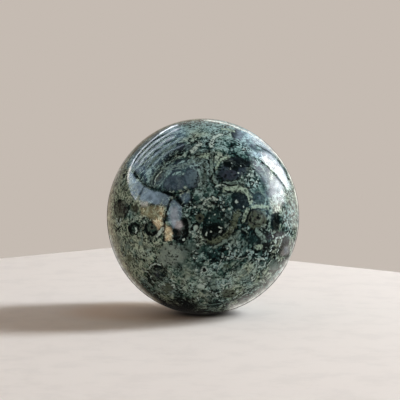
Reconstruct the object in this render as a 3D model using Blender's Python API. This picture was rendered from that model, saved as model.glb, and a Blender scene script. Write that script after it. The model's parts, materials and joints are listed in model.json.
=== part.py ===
"""Green jasper ball, ground and polished from one lump of orbicular green stone.

Units are metres and +Z is up. The origin is the middle of the ground seat on which the ball stands.
"""

import math

import bmesh
import bpy
from mathutils import Vector

# Driving dimensions of the ground ball
WIDTH = 0.0795  # measured across, through the middle
FULL_HEIGHT = 0.0810  # a hand ground ball, slightly taller than wide, before its seat is lapped
SEAT_WIDTH = 0.0090  # the small flat lapped on the underside, so that the ball doesn't roll

# How finely the round surface is divided
SIDES = 80
RINGS = 40
WELD_DISTANCE = 0.000001  # closer points than this are one point
CREASE_ANGLE = math.radians(30)  # edges sharper than this, such as the seat's rim, stay crisp

# The polished stone, as a plain colour between its dark eyes and its pale sage bands
STONE_COLOUR = (0.075, 0.110, 0.088, 1.0)
STONE_ROUGHNESS = 0.08


def clear_scene():
    """Remove whatever the startup file holds."""
    for item in list(bpy.data.objects):
        bpy.data.objects.remove(item, do_unlink=True)


def polished_stone():
    """The one material: glossy dark green stone."""
    material = bpy.data.materials.new("polished_green_jasper")
    material.use_nodes = True
    shader = material.node_tree.nodes["Principled BSDF"]
    shader.inputs["Base Color"].default_value = STONE_COLOUR
    shader.inputs["Roughness"].default_value = STONE_ROUGHNESS
    shader.inputs["Metallic"].default_value = 0.0
    material.diffuse_color = STONE_COLOUR
    return material


def ball_profile():
    """Half of the ball's outline in the XZ plane, from the rim of the seat up to the top."""
    half_width = WIDTH / 2
    half_height = FULL_HEIGHT / 2
    seat_radius = SEAT_WIDTH / 2
    seat_angle = math.asin(seat_radius / half_width)
    seat_level = half_height * math.cos(seat_angle)
    points = []
    for ring in range(RINGS + 1):
        angle = seat_angle + (math.pi - seat_angle) * ring / RINGS
        across = half_width * math.sin(angle) if ring < RINGS else 0.0
        up = seat_level - half_height * math.cos(angle)
        points.append(Vector((across, 0.0, up)))
    return points


def ball_mesh():
    """Turn the profile about the upright axis and close the seat with one flat round face."""
    shape = bmesh.new()
    profile = [shape.verts.new(point) for point in ball_profile()]
    edges = [shape.edges.new(pair) for pair in zip(profile, profile[1:])]
    bmesh.ops.spin(
        shape,
        geom=profile + edges,
        cent=(0.0, 0.0, 0.0),
        axis=(0.0, 0.0, 1.0),
        dvec=(0.0, 0.0, 0.0),
        angle=2 * math.pi,
        steps=SIDES,
        use_merge=True,
        use_duplicate=False,
    )
    bmesh.ops.remove_doubles(shape, verts=shape.verts, dist=WELD_DISTANCE)
    seat_rim = [edge for edge in shape.edges if edge.is_boundary]
    bmesh.ops.contextual_create(shape, geom=seat_rim)
    bmesh.ops.recalc_face_normals(shape, faces=shape.faces)
    mesh = bpy.data.meshes.new("jasper_ball")
    shape.to_mesh(mesh)
    shape.free()
    mesh.shade_smooth()
    mesh.set_sharp_from_angle(angle=CREASE_ANGLE)
    return mesh


def add_ball():
    """The whole object: one polished solid, standing on its seat."""
    ball = bpy.data.objects.new("jasper_ball", ball_mesh())
    ball.data.materials.append(polished_stone())
    bpy.context.scene.collection.objects.link(ball)
    return ball


def main():
    clear_scene()
    add_ball()


if __name__ == "__main__":
    main()
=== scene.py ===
"""Looks of the green jasper ball: the fine polished surface, its stone, and a small studio.

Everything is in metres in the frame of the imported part. The stone's recipe works in millimetres from the
ball's middle. A marking is placed by the pixel where the 400 pixel photograph shows it, cast from the
photograph's viewpoint onto the ball, so it sits on the surface from any side.
"""

import json
import math
import random
from collections import namedtuple

import bmesh
import bpy
import numpy as np
from mathutils import Euler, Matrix, Quaternion, Vector, noise

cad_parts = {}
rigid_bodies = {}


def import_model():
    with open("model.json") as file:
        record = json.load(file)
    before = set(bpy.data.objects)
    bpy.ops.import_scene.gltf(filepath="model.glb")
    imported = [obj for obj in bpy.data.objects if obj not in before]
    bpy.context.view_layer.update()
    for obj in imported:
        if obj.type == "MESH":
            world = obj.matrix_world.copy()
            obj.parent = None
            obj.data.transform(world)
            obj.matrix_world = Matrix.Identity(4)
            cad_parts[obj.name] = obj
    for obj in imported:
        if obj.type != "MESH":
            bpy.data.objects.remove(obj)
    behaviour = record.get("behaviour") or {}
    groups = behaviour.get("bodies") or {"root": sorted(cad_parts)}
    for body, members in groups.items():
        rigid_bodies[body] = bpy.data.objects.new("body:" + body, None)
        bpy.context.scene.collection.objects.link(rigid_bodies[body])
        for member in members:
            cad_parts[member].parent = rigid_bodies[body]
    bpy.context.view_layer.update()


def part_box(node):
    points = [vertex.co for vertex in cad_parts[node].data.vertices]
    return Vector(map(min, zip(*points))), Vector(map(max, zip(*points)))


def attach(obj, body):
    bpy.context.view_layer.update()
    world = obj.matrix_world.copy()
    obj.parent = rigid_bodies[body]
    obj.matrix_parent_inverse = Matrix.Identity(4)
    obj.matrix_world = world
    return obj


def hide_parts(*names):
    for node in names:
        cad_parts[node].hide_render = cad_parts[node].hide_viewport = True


bl_info = {
    "name": "Green jasper ball",
    "version": (1, 0, 0),
    "blender": (4, 5, 0),
    "location": "View3D > Sidebar > Jasper",
    "description": "Models a polished ball of orbicular green jasper and a small studio for it",
    "category": "Add Mesh",
}

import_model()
CAD_LOW, CAD_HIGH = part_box("jasper_ball")

# The ground ball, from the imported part
SEAT_WIDTH = 0.0090
HALF_WIDTH = (CAD_HIGH.x - CAD_LOW.x) / 2
SEAT_ANGLE = math.asin(SEAT_WIDTH / 2 / HALF_WIDTH)
HALF_HEIGHT = CAD_HIGH.z / (1 + math.cos(SEAT_ANGLE))
BALL_CENTRE = Vector((0.0, 0.0, HALF_HEIGHT * math.cos(SEAT_ANGLE)))
BALL_RADII = Vector((HALF_WIDTH, HALF_WIDTH, HALF_HEIGHT))

# The photograph's viewpoint
PHOTO_PIXELS = 400
FOCAL_PIXELS = 1511
SENSOR_WIDTH = 36.0
VIEW_DISTANCE = 0.626
VIEW_ELEVATION = math.radians(4.8)
BALL_SEEN_AT = (203.0, 216.3)
MILLIMETRE = 0.001


def colour(name, description, value):
    """One of the stone's or the studio's colours, as a user sees it in the panel."""
    return bpy.props.FloatVectorProperty(
        name=name, description=description, subtype="COLOR", size=3, min=0.0, max=1.0, default=value
    )


def length(name, description, value):
    """One of the sizes, in metres, as a user sees it in the panel."""
    return bpy.props.FloatProperty(name=name, description=description, default=value, unit="LENGTH")


def power(name, description, value):
    """The power of one of the lights, as a user sees it in the panel."""
    return bpy.props.FloatProperty(name=name, description=description, min=0.0, default=value, unit="POWER")


class JasperColours(bpy.types.PropertyGroup):
    """The few colours that every marking of the stone is mixed from."""

    ink: colour("Ink", "Cores of the darkest eyes", (0.0018, 0.0042, 0.0044))
    violet: colour("Violet black", "The large eyes", (0.0215, 0.0320, 0.0450))
    maroon: colour("Maroon black", "A warm streak in the dark eyes", (0.0200, 0.0170, 0.0155))
    teal: colour("Deep teal", "The dark ground of the stone", (0.0068, 0.0225, 0.0225))
    forest: colour("Forest green", "The middle dark ground", (0.0165, 0.044, 0.040))
    moss: colour("Moss green", "The usual ground", (0.042, 0.083, 0.072))
    sage: colour("Sage", "Cool pale bands and flecks", (0.148, 0.214, 0.188))
    celery: colour("Celery", "Yellowish pale bands", (0.275, 0.360, 0.285))
    bone: colour("Pale sage", "The palest threads and dots", (0.42, 0.52, 0.48))
    umber: colour("Umber", "Grey brown insides of eyes", (0.056, 0.057, 0.046))
    olive: colour("Olive", "Yellow green stains", (0.054, 0.060, 0.036))
    mauve: colour("Mauve", "Violet grey fields", (0.034, 0.040, 0.055))
    slate: colour("Slate", "Blue grey fields", (0.074, 0.110, 0.134))
    khaki: colour("Khaki", "Olive grey bands", (0.088, 0.112, 0.076))
    mist: colour("Mist", "The palest smooth field", (0.235, 0.292, 0.256))
    haze: colour("Haze", "Smooth grey green fields", (0.080, 0.118, 0.104))
    cool: colour("Cool cast", "What tints the colours where the stone is blue green", (0.84, 1.00, 1.07))
    warm: colour("Warm cast", "What tints them where it is olive", (1.06, 1.01, 0.84))


class JasperBallSettings(bpy.types.PropertyGroup):
    """The sizes and the polish of the ball."""

    sides: bpy.props.IntProperty(
        name="Sides", description="Faces around the ball", min=64, max=360, default=320
    )
    rings: bpy.props.IntProperty(
        name="Rings", description="Faces from the seat to the top", min=32, max=260, default=200
    )
    seat_width: length("Seat", "Width of the ground flat underneath", SEAT_WIDTH)
    seat_ease: length("Seat edge", "How far the seat's rim is rubbed off", 0.00015)
    waviness: length("Waviness", "Depth of the hand polish's shallow hollows", 0.00001)
    wave_length: length("Wave length", "Distance between those hollows", 0.014)
    roughness: bpy.props.FloatProperty(
        name="Roughness", description="Roughness of the polish", min=0.0, max=1.0, default=0.045
    )
    ripple: length("Ripple", "Depth of the polish's finest unevenness", 0.00002)
    refraction: bpy.props.FloatProperty(
        name="Refraction", description="Index of refraction of the stone", min=1.0, max=2.0, default=1.54
    )


class JasperStageSettings(bpy.types.PropertyGroup):
    """The floor, the surroundings and the lights."""

    floor: colour("Floor", "The pale floor", (0.87, 0.80, 0.745))
    backdrop: colour("Backdrop", "What is seen behind the floor", (0.558, 0.497, 0.445))
    floor_width: length("Floor width", "Width of the floor", 1.6)
    floor_back: length("Floor back", "From the ball to the floor's back corner", 0.276)
    floor_near: length("Floor mirrored", "How far in front the polish mirrors the floor", 0.08)
    floor_front: length("Floor front", "From the ball to the floor's front edge", 0.6)
    card_distance: length("Card distance", "From the ball to the cards that it mirrors", 1.3)
    key_colour: colour("Key light", "The soft light at the right", (0.85, 0.93, 1.00))
    key_power: power("Key power", "Power of the light at the right", 24.0)
    key_width: length("Key width", "Width of the light at the right", 0.30)
    key_height: length("Key height", "Height of the light at the right", 0.85)
    fill_colour: colour("Fill light", "The wide light above the camera", (0.89, 0.96, 1.00))
    fill_power: power("Fill power", "Power of the wide light above the camera", 4.0)
    fill_width: length("Fill width", "Width of the light above the camera", 0.90)
    ambient: colour("Light all around", "The light from every side", (0.300, 0.236, 0.180))
    front: colour("Mirrored front", "What the polish mirrors of the front", (0.028, 0.026, 0.024))


def in_radii(way, radii=BALL_RADII):
    """A way from the ball's middle, in radii. It is 1 long where it ends on the surface."""
    return Vector(a / b for a, b in zip(way, radii))


class Camera:
    """The photograph's viewpoint, and the rays from it."""

    def __init__(self):
        away = Vector((0.0, -math.cos(VIEW_ELEVATION), math.sin(VIEW_ELEVATION)))
        half = PHOTO_PIXELS / 2
        right_of_middle = math.atan((BALL_SEEN_AT[0] - half) / FOCAL_PIXELS)
        below_middle = math.atan((BALL_SEEN_AT[1] - half) / FOCAL_PIXELS)
        tilt_down = VIEW_ELEVATION - below_middle
        self.place = BALL_CENTRE + away * VIEW_DISTANCE
        self.turn = Euler((math.pi / 2 - tilt_down, 0.0, right_of_middle))
        self.axes = self.turn.to_matrix()

    def ray(self, x, y):
        """The direction of the sight line through a pixel."""
        half = PHOTO_PIXELS / 2
        seen = Vector(((x - half) / FOCAL_PIXELS, (half - y) / FOCAL_PIXELS, -1.0))
        return (self.axes @ seen).normalized()

    def on_ball(self, x, y):
        """The point of the ball that shows at a pixel."""
        way = self.ray(x, y)
        scaled_start = in_radii(self.place - BALL_CENTRE)
        scaled_way = in_radii(way)
        square = scaled_way.length_squared
        half_linear = scaled_start.dot(scaled_way)
        inside = half_linear**2 - square * (scaled_start.length_squared - 1)
        if inside < 0:
            raise ValueError(f"the ball doesn't show at pixel {x}, {y}")
        reach = (-half_linear - math.sqrt(inside)) / square
        return self.place + way * reach

    def mirrored(self, x, y, distance):
        """The place, that far from the ball, whose reflection shows at a pixel."""
        point = self.on_ball(x, y)
        way = self.ray(x, y)
        out = normal_at(point)
        return point + (way - out * 2 * way.dot(out)) * distance


def normal_at(point):
    """The direction straight out of the ball at a point of its surface."""
    out = point - BALL_CENTRE
    return Vector(a / b**2 for a, b in zip(out, BALL_RADII)).normalized()


CAMERA = Camera()
STEEPEST = 0.36  # a surface that turns further away than this cosine isn't stretched any more

# The stone's markings. Places are pixels of the photograph, sizes are millimetres as seen there, and lean is
# the angle of the long axis, in degrees anticlockwise from level. A zone changes the ground by its last four.
Zone = namedtuple("Zone", "name x y long wide lean tone warmth streaks lace")
Cloud = namedtuple("Cloud", "name x y long wide lean colour strength")
Eye = namedtuple("Eye", "name x y long wide lean look")
# What an eye's bands are: colours from the middle out, where each gives way as a share of the eye's radius,
# how soft those edges are, how much of the stone's flecks it keeps off, and how much it covers
Look = namedtuple("Look", "heart body ring rim heart_to body_to ring_to soft calm strength")

LOOKS = {
    "teal night": Look("forest", "teal", "ink", "forest", 0.46, 0.80, 0.95, 0.18, 0.45, 0.80),
    "violet": Look("ink", "violet", "ink", "teal", 0.30, 0.80, 0.95, 0.12, 0.88, 0.99),
    "black": Look("ink", "ink", "ink", "violet", 0.40, 0.62, 0.86, 0.30, 0.95, 0.88),
    "navy": Look("mauve", "teal", "ink", "forest", 0.30, 0.72, 0.95, 0.16, 0.80, 0.95),
    "night": Look("ink", "teal", "ink", "forest", 0.74, 0.84, 0.96, 0.12, 0.96, 0.99),
    "olive": Look("umber", "khaki", "umber", "khaki", 0.20, 0.50, 0.74, 0.16, 0.80, 0.90),
    "brown": Look("umber", "maroon", "ink", "forest", 0.42, 0.72, 0.92, 0.14, 0.80, 0.96),
    "smoky": Look("maroon", "ink", "ink", "moss", 0.40, 0.70, 0.94, 0.10, 0.80, 0.97),
    "crescent": Look("moss", "forest", "ink", "sage", 0.40, 0.66, 0.90, 0.10, 0.90, 0.92),
    "burnt": Look("umber", "forest", "ink", "sage", 0.30, 0.62, 0.92, 0.10, 0.90, 0.94),
    "tilted": Look("umber", "haze", "ink", "sage", 0.40, 0.58, 0.76, 0.09, 0.75, 0.92),
    "ringed": Look("ink", "bone", "forest", "teal", 0.45, 0.80, 0.95, 0.12, 0.90, 0.92),
    "slate": Look("slate", "teal", "ink", "sage", 0.35, 0.72, 0.86, 0.15, 0.40, 0.80),
    "mauve": Look("violet", "slate", "forest", "moss", 0.40, 0.80, 0.95, 0.18, 0.50, 0.75),
    "dusk": Look("violet", "mauve", "mauve", "teal", 0.30, 0.60, 0.90, 0.20, 0.92, 0.86),
    "bluish": Look("slate", "slate", "mauve", "teal", 0.40, 0.78, 0.96, 0.14, 0.86, 0.86),
    "lace": Look("teal", "teal", "teal", "forest", 0.30, 0.60, 0.90, 0.20, 0.00, 0.80),
    "net": Look("teal", "sage", "teal", "forest", 0.40, 0.75, 0.95, 0.12, 0.30, 0.60),
}

ZONES = [
    Zone("dark centre", 216, 216, 26, 24, 0, -0.09, -0.3, 0, -0.05),
    Zone("dark right of the centre", 256, 238, 12, 14, 0, -0.02, -0.5, 0, -0.02),
    Zone("upper left streaks", 158, 154, 30, 20, 42, 0, -0.5, 2.2, -0.25),
    # Partly a painted reflection of the light from above, partly the crown's paler stone
    Zone("crown", 218, 126, 38, 9, 0, 0.4, -0.6, 0.3, 0.16),
    Zone("upper right", 258, 142, 18, 10, -35, 0.1, -0.8, 0.4, 0.08),
    Zone("right rim", 291, 205, 12, 30, 0, 0.12, 0.1, 0.4, 0.22),
    # Partly painted light: these two are lighter where the lamps leave the left side dim; the rest is the
    # stone's
    Zone("left rim", 117, 210, 12, 46, 0, 0.24, 0.7, 0.6, 0.2),
    Zone("lower left", 138, 254, 24, 22, -50, 0.22, 0.8, 0, 0.4),
    Zone("lower middle", 212, 287, 50, 14, 0, 0.28, 0.2, 0, 0.06),
    Zone("under the great eye", 226, 252, 12, 6, 0, -0.16, 0, 0, 0.02),
    Zone("crown's middle", 212, 143, 10, 6, 0, -0.16, -0.4, 0, 0.1),
    Zone("crown's right", 228, 127, 8, 5, -20, 0.2, 0.2, 0, 0.1),
    Zone("right end of the underside", 216, 310, 7, 4, 0, 0.3, 0, 0, 0.1),
    Zone("right of the hook", 258, 205, 18, 8, 0, 0.2, -0.3, 0, 0),
    Zone("by the lowest left rim", 164, 293, 14, 7, -30, 0.34, 0.2, 0, 0.05),
    Zone("right of the lower middle", 244, 274, 9, 12, 30, 0.38, 0, 0, 0.1),
    # Painted shade: the bottom is darker, where the polish mirrors the shaded floor under the ball
    Zone("bottom", 200, 311, 50, 8, 0, -0.22, 0.3, 0, -0.03),
    Zone("lower right", 274, 250, 16, 22, 30, -0.22, 0.2, 0, -0.08),
    # Painted shade: the underside at the left is darker still
    Zone("underside at the left", 176, 307, 18, 9, 10, -0.4, 0, 0, -0.3),
    Zone("over the violet eye", 230, 147, 12, 8, 0, 0.12, -0.8, 0, 0.1),
    Zone("between the strands", 203, 168, 12, 24, 0, 0.4, -0.6, 0.2, 0.12),
    Zone("round the tilted eye", 158, 174, 16, 11, 30, 0.14, -0.6, 0, 0),
    Zone("network by the violet eye", 252, 179.6, 9, 8, 10, 0.1, -0.2, 0, 0.45),
    Zone("net of the lower right", 262, 262, 8, 7, 0, 0.04, -0.2, 0, 0.25),
    Zone("left of the blobs", 232, 252, 12, 8, 0, 0, -0.2, 0, 0.15),
    Zone("quiet haze", 184, 258, 20, 14, 0, 0.06, -0.1, 0, -0.34),
]

CLOUDS = [
    Cloud("hazy field", 171, 256, 13, 9.4, 10, "mist", 0.84),
    Cloud("haze to its right", 191, 250, 9, 7, 0, "haze", 0.7),
    Cloud("brown haze at the lower left", 147, 247, 5, 2.8, -15, "umber", 0.6),
    Cloud("grey field at the left", 117, 241, 4, 5.6, 0, "umber", 0.6),
    Cloud("olive patch of the lower right", 226, 267, 3.4, 3, 0, "olive", 0.6),
    Cloud("dark by the left glow", 135.4, 208.6, 2.8, 4.4, 0, "maroon", 0.92),
    # Painted shade: ink over the underside at the left, where the polish mirrors the ball's own shadow
    Cloud("dark underside at the left", 180, 309, 17, 5, 10, "ink", 0.9),
    Cloud("haze under the field", 187, 270, 12, 8, -20, "haze", 0.55),
    Cloud("smooth grey at the lower right", 275, 266, 4.8, 5.6, 0, "haze", 0.9),
    Cloud("slate of the upper left", 188, 147, 4, 3, 0, "slate", 0.7),
    Cloud("blue patch right of the centre", 255, 240, 6.5, 4.5, 0, "teal", 0.8),
    Cloud("olive patch at the left", 129.5, 259, 2.6, 3.4, 0, "olive", 0.8),
    Cloud("olive under the great eye", 217, 242, 6.5, 2.4, 10, "olive", 0.7),
    Cloud("sage patch at the left", 128, 246, 2.4, 3, 0, "sage", 0.7),
    Cloud("sage patch of the lower left", 146, 261, 3.6, 4.2, 0, "sage", 0.45),
    Cloud("violet patch of the lower middle", 206, 279.5, 2.6, 2.6, 0, "violet", 0.7),
    Cloud("ochre by the left glow", 152, 213, 8.5, 6.5, 0, "olive", 0.45),
    Cloud("violet grey triangle", 185.5, 197, 5, 4, 0, "mauve", 0.7),
    Cloud("teal patch by the crescents", 151, 237, 3.6, 3.4, 0, "teal", 0.8),
    # Partly painted reflection: three smooth blue grey clouds stand in for the veil of the mirrored highlight
    Cloud("calm under the highlight", 277.5, 184, 5.6, 15, -38, "slate", 0.8),
    Cloud("calm under the upper highlight", 268, 152, 9, 3.6, -42, "slate", 0.6),
    Cloud("navy beside the highlight", 262, 174, 5.4, 10, 25, "slate", 0.5),
    Cloud("dark olive under the left glow", 133.4, 208, 3, 3.2, 0, "olive", 0.8),
    Cloud("calm field at the left", 149, 193, 19, 8, -25, "teal", 0.8),
    Cloud("warm grey by the right rim", 285, 250, 6, 7.6, 20, "umber", 0.88),
    Cloud("dark by the right rim", 285, 240, 5, 4.6, 0, "ink", 0.8),
    Cloud("navy round the vein", 278, 235.6, 9, 3.4, 5, "mauve", 0.85),
    Cloud("calm field beside it", 175, 213, 5.6, 11, 0, "teal", 0.7),
]

EYES = [
    Eye("large violet eye", 234, 169, 14.6, 9.6, 27, "violet"),
    Eye("black of the violet eye", 237.5, 163.4, 10.4, 4.6, 8, "black"),
    Eye("violet of its lower part", 229, 174.6, 7, 3.6, 10, "dusk"),
    Eye("eye in the band's hook", 240, 200.8, 7.9, 7.4, 0, "night"),
    Eye("great teal eye", 217.5, 221, 10.4, 12.6, -25, "teal night"),
    Eye("black of the great eye", 213.6, 231.6, 9.6, 6.8, 12, "night"),
    Eye("mottled eye by the highlight", 259, 197.6, 6, 5.2, 0, "slate"),
    Eye("network by the violet eye", 252, 179, 7.6, 6.6, 10, "lace"),
    Eye("olive eye", 257, 218, 9, 8, 20, "olive"),
    Eye("upright violet eye", 275.6, 221.6, 4, 8, 0, "night"),
    Eye("tall brown eye at the left", 120.3, 208.5, 6.2, 8.4, 0, "brown"),
    Eye("crescent eye", 134, 228.6, 5.2, 5.4, 0, "crescent"),
    Eye("black crescent eye", 152, 228.4, 6.3, 6.1, 0, "burnt"),
    Eye("black brown eye", 181.6, 231.6, 6.6, 10.4, -8, "smoky"),
    Eye("little olive eye", 200, 218, 3.6, 3.6, 0, "olive"),
    Eye("tilted ringed eye", 158.8, 177.6, 8.4, 4.6, 55, "tilted"),
    Eye("violet grey patch", 173.6, 183, 9.4, 6.6, 12, "dusk"),
    Eye("blue grey beside it", 192, 178, 6, 8.4, 0, "bluish"),
    Eye("violet eye of the upper left", 180.2, 146.8, 3.6, 3.6, 0, "violet"),
    Eye("violet blue eye of the crown", 237.5, 134.1, 5.2, 4.2, -20, "violet"),
    Eye("violet strip", 252.3, 146.4, 5.2, 2.7, -35, "mauve"),
    Eye("navy eye of the lower left", 156.8, 273.8, 8.2, 7, 20, "navy"),
    Eye("olive patch of the lower left", 167, 288.2, 6.2, 3.8, 0, "olive"),
    Eye("tiny ring eye", 204.6, 269.9, 3.5, 3.5, 0, "ringed"),
    Eye("pale ring cell", 261.8, 262.6, 3.3, 3.3, 0, "net"),
    Eye("bottom eye", 206.5, 296, 7.6, 4.3, -5, "slate"),
    Eye("bottom olive eye", 229.5, 294.2, 6.8, 3.6, 5, "olive"),
    Eye("eye under the crown", 245, 243.6, 2.6, 3.2, 0, "net"),
    Eye("ring on the thin strand", 204.2, 187.2, 2.2, 3, 0, "net"),
    Eye("left loop", 156, 162.6, 2.8, 3.4, 0, "net"),
]

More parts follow.
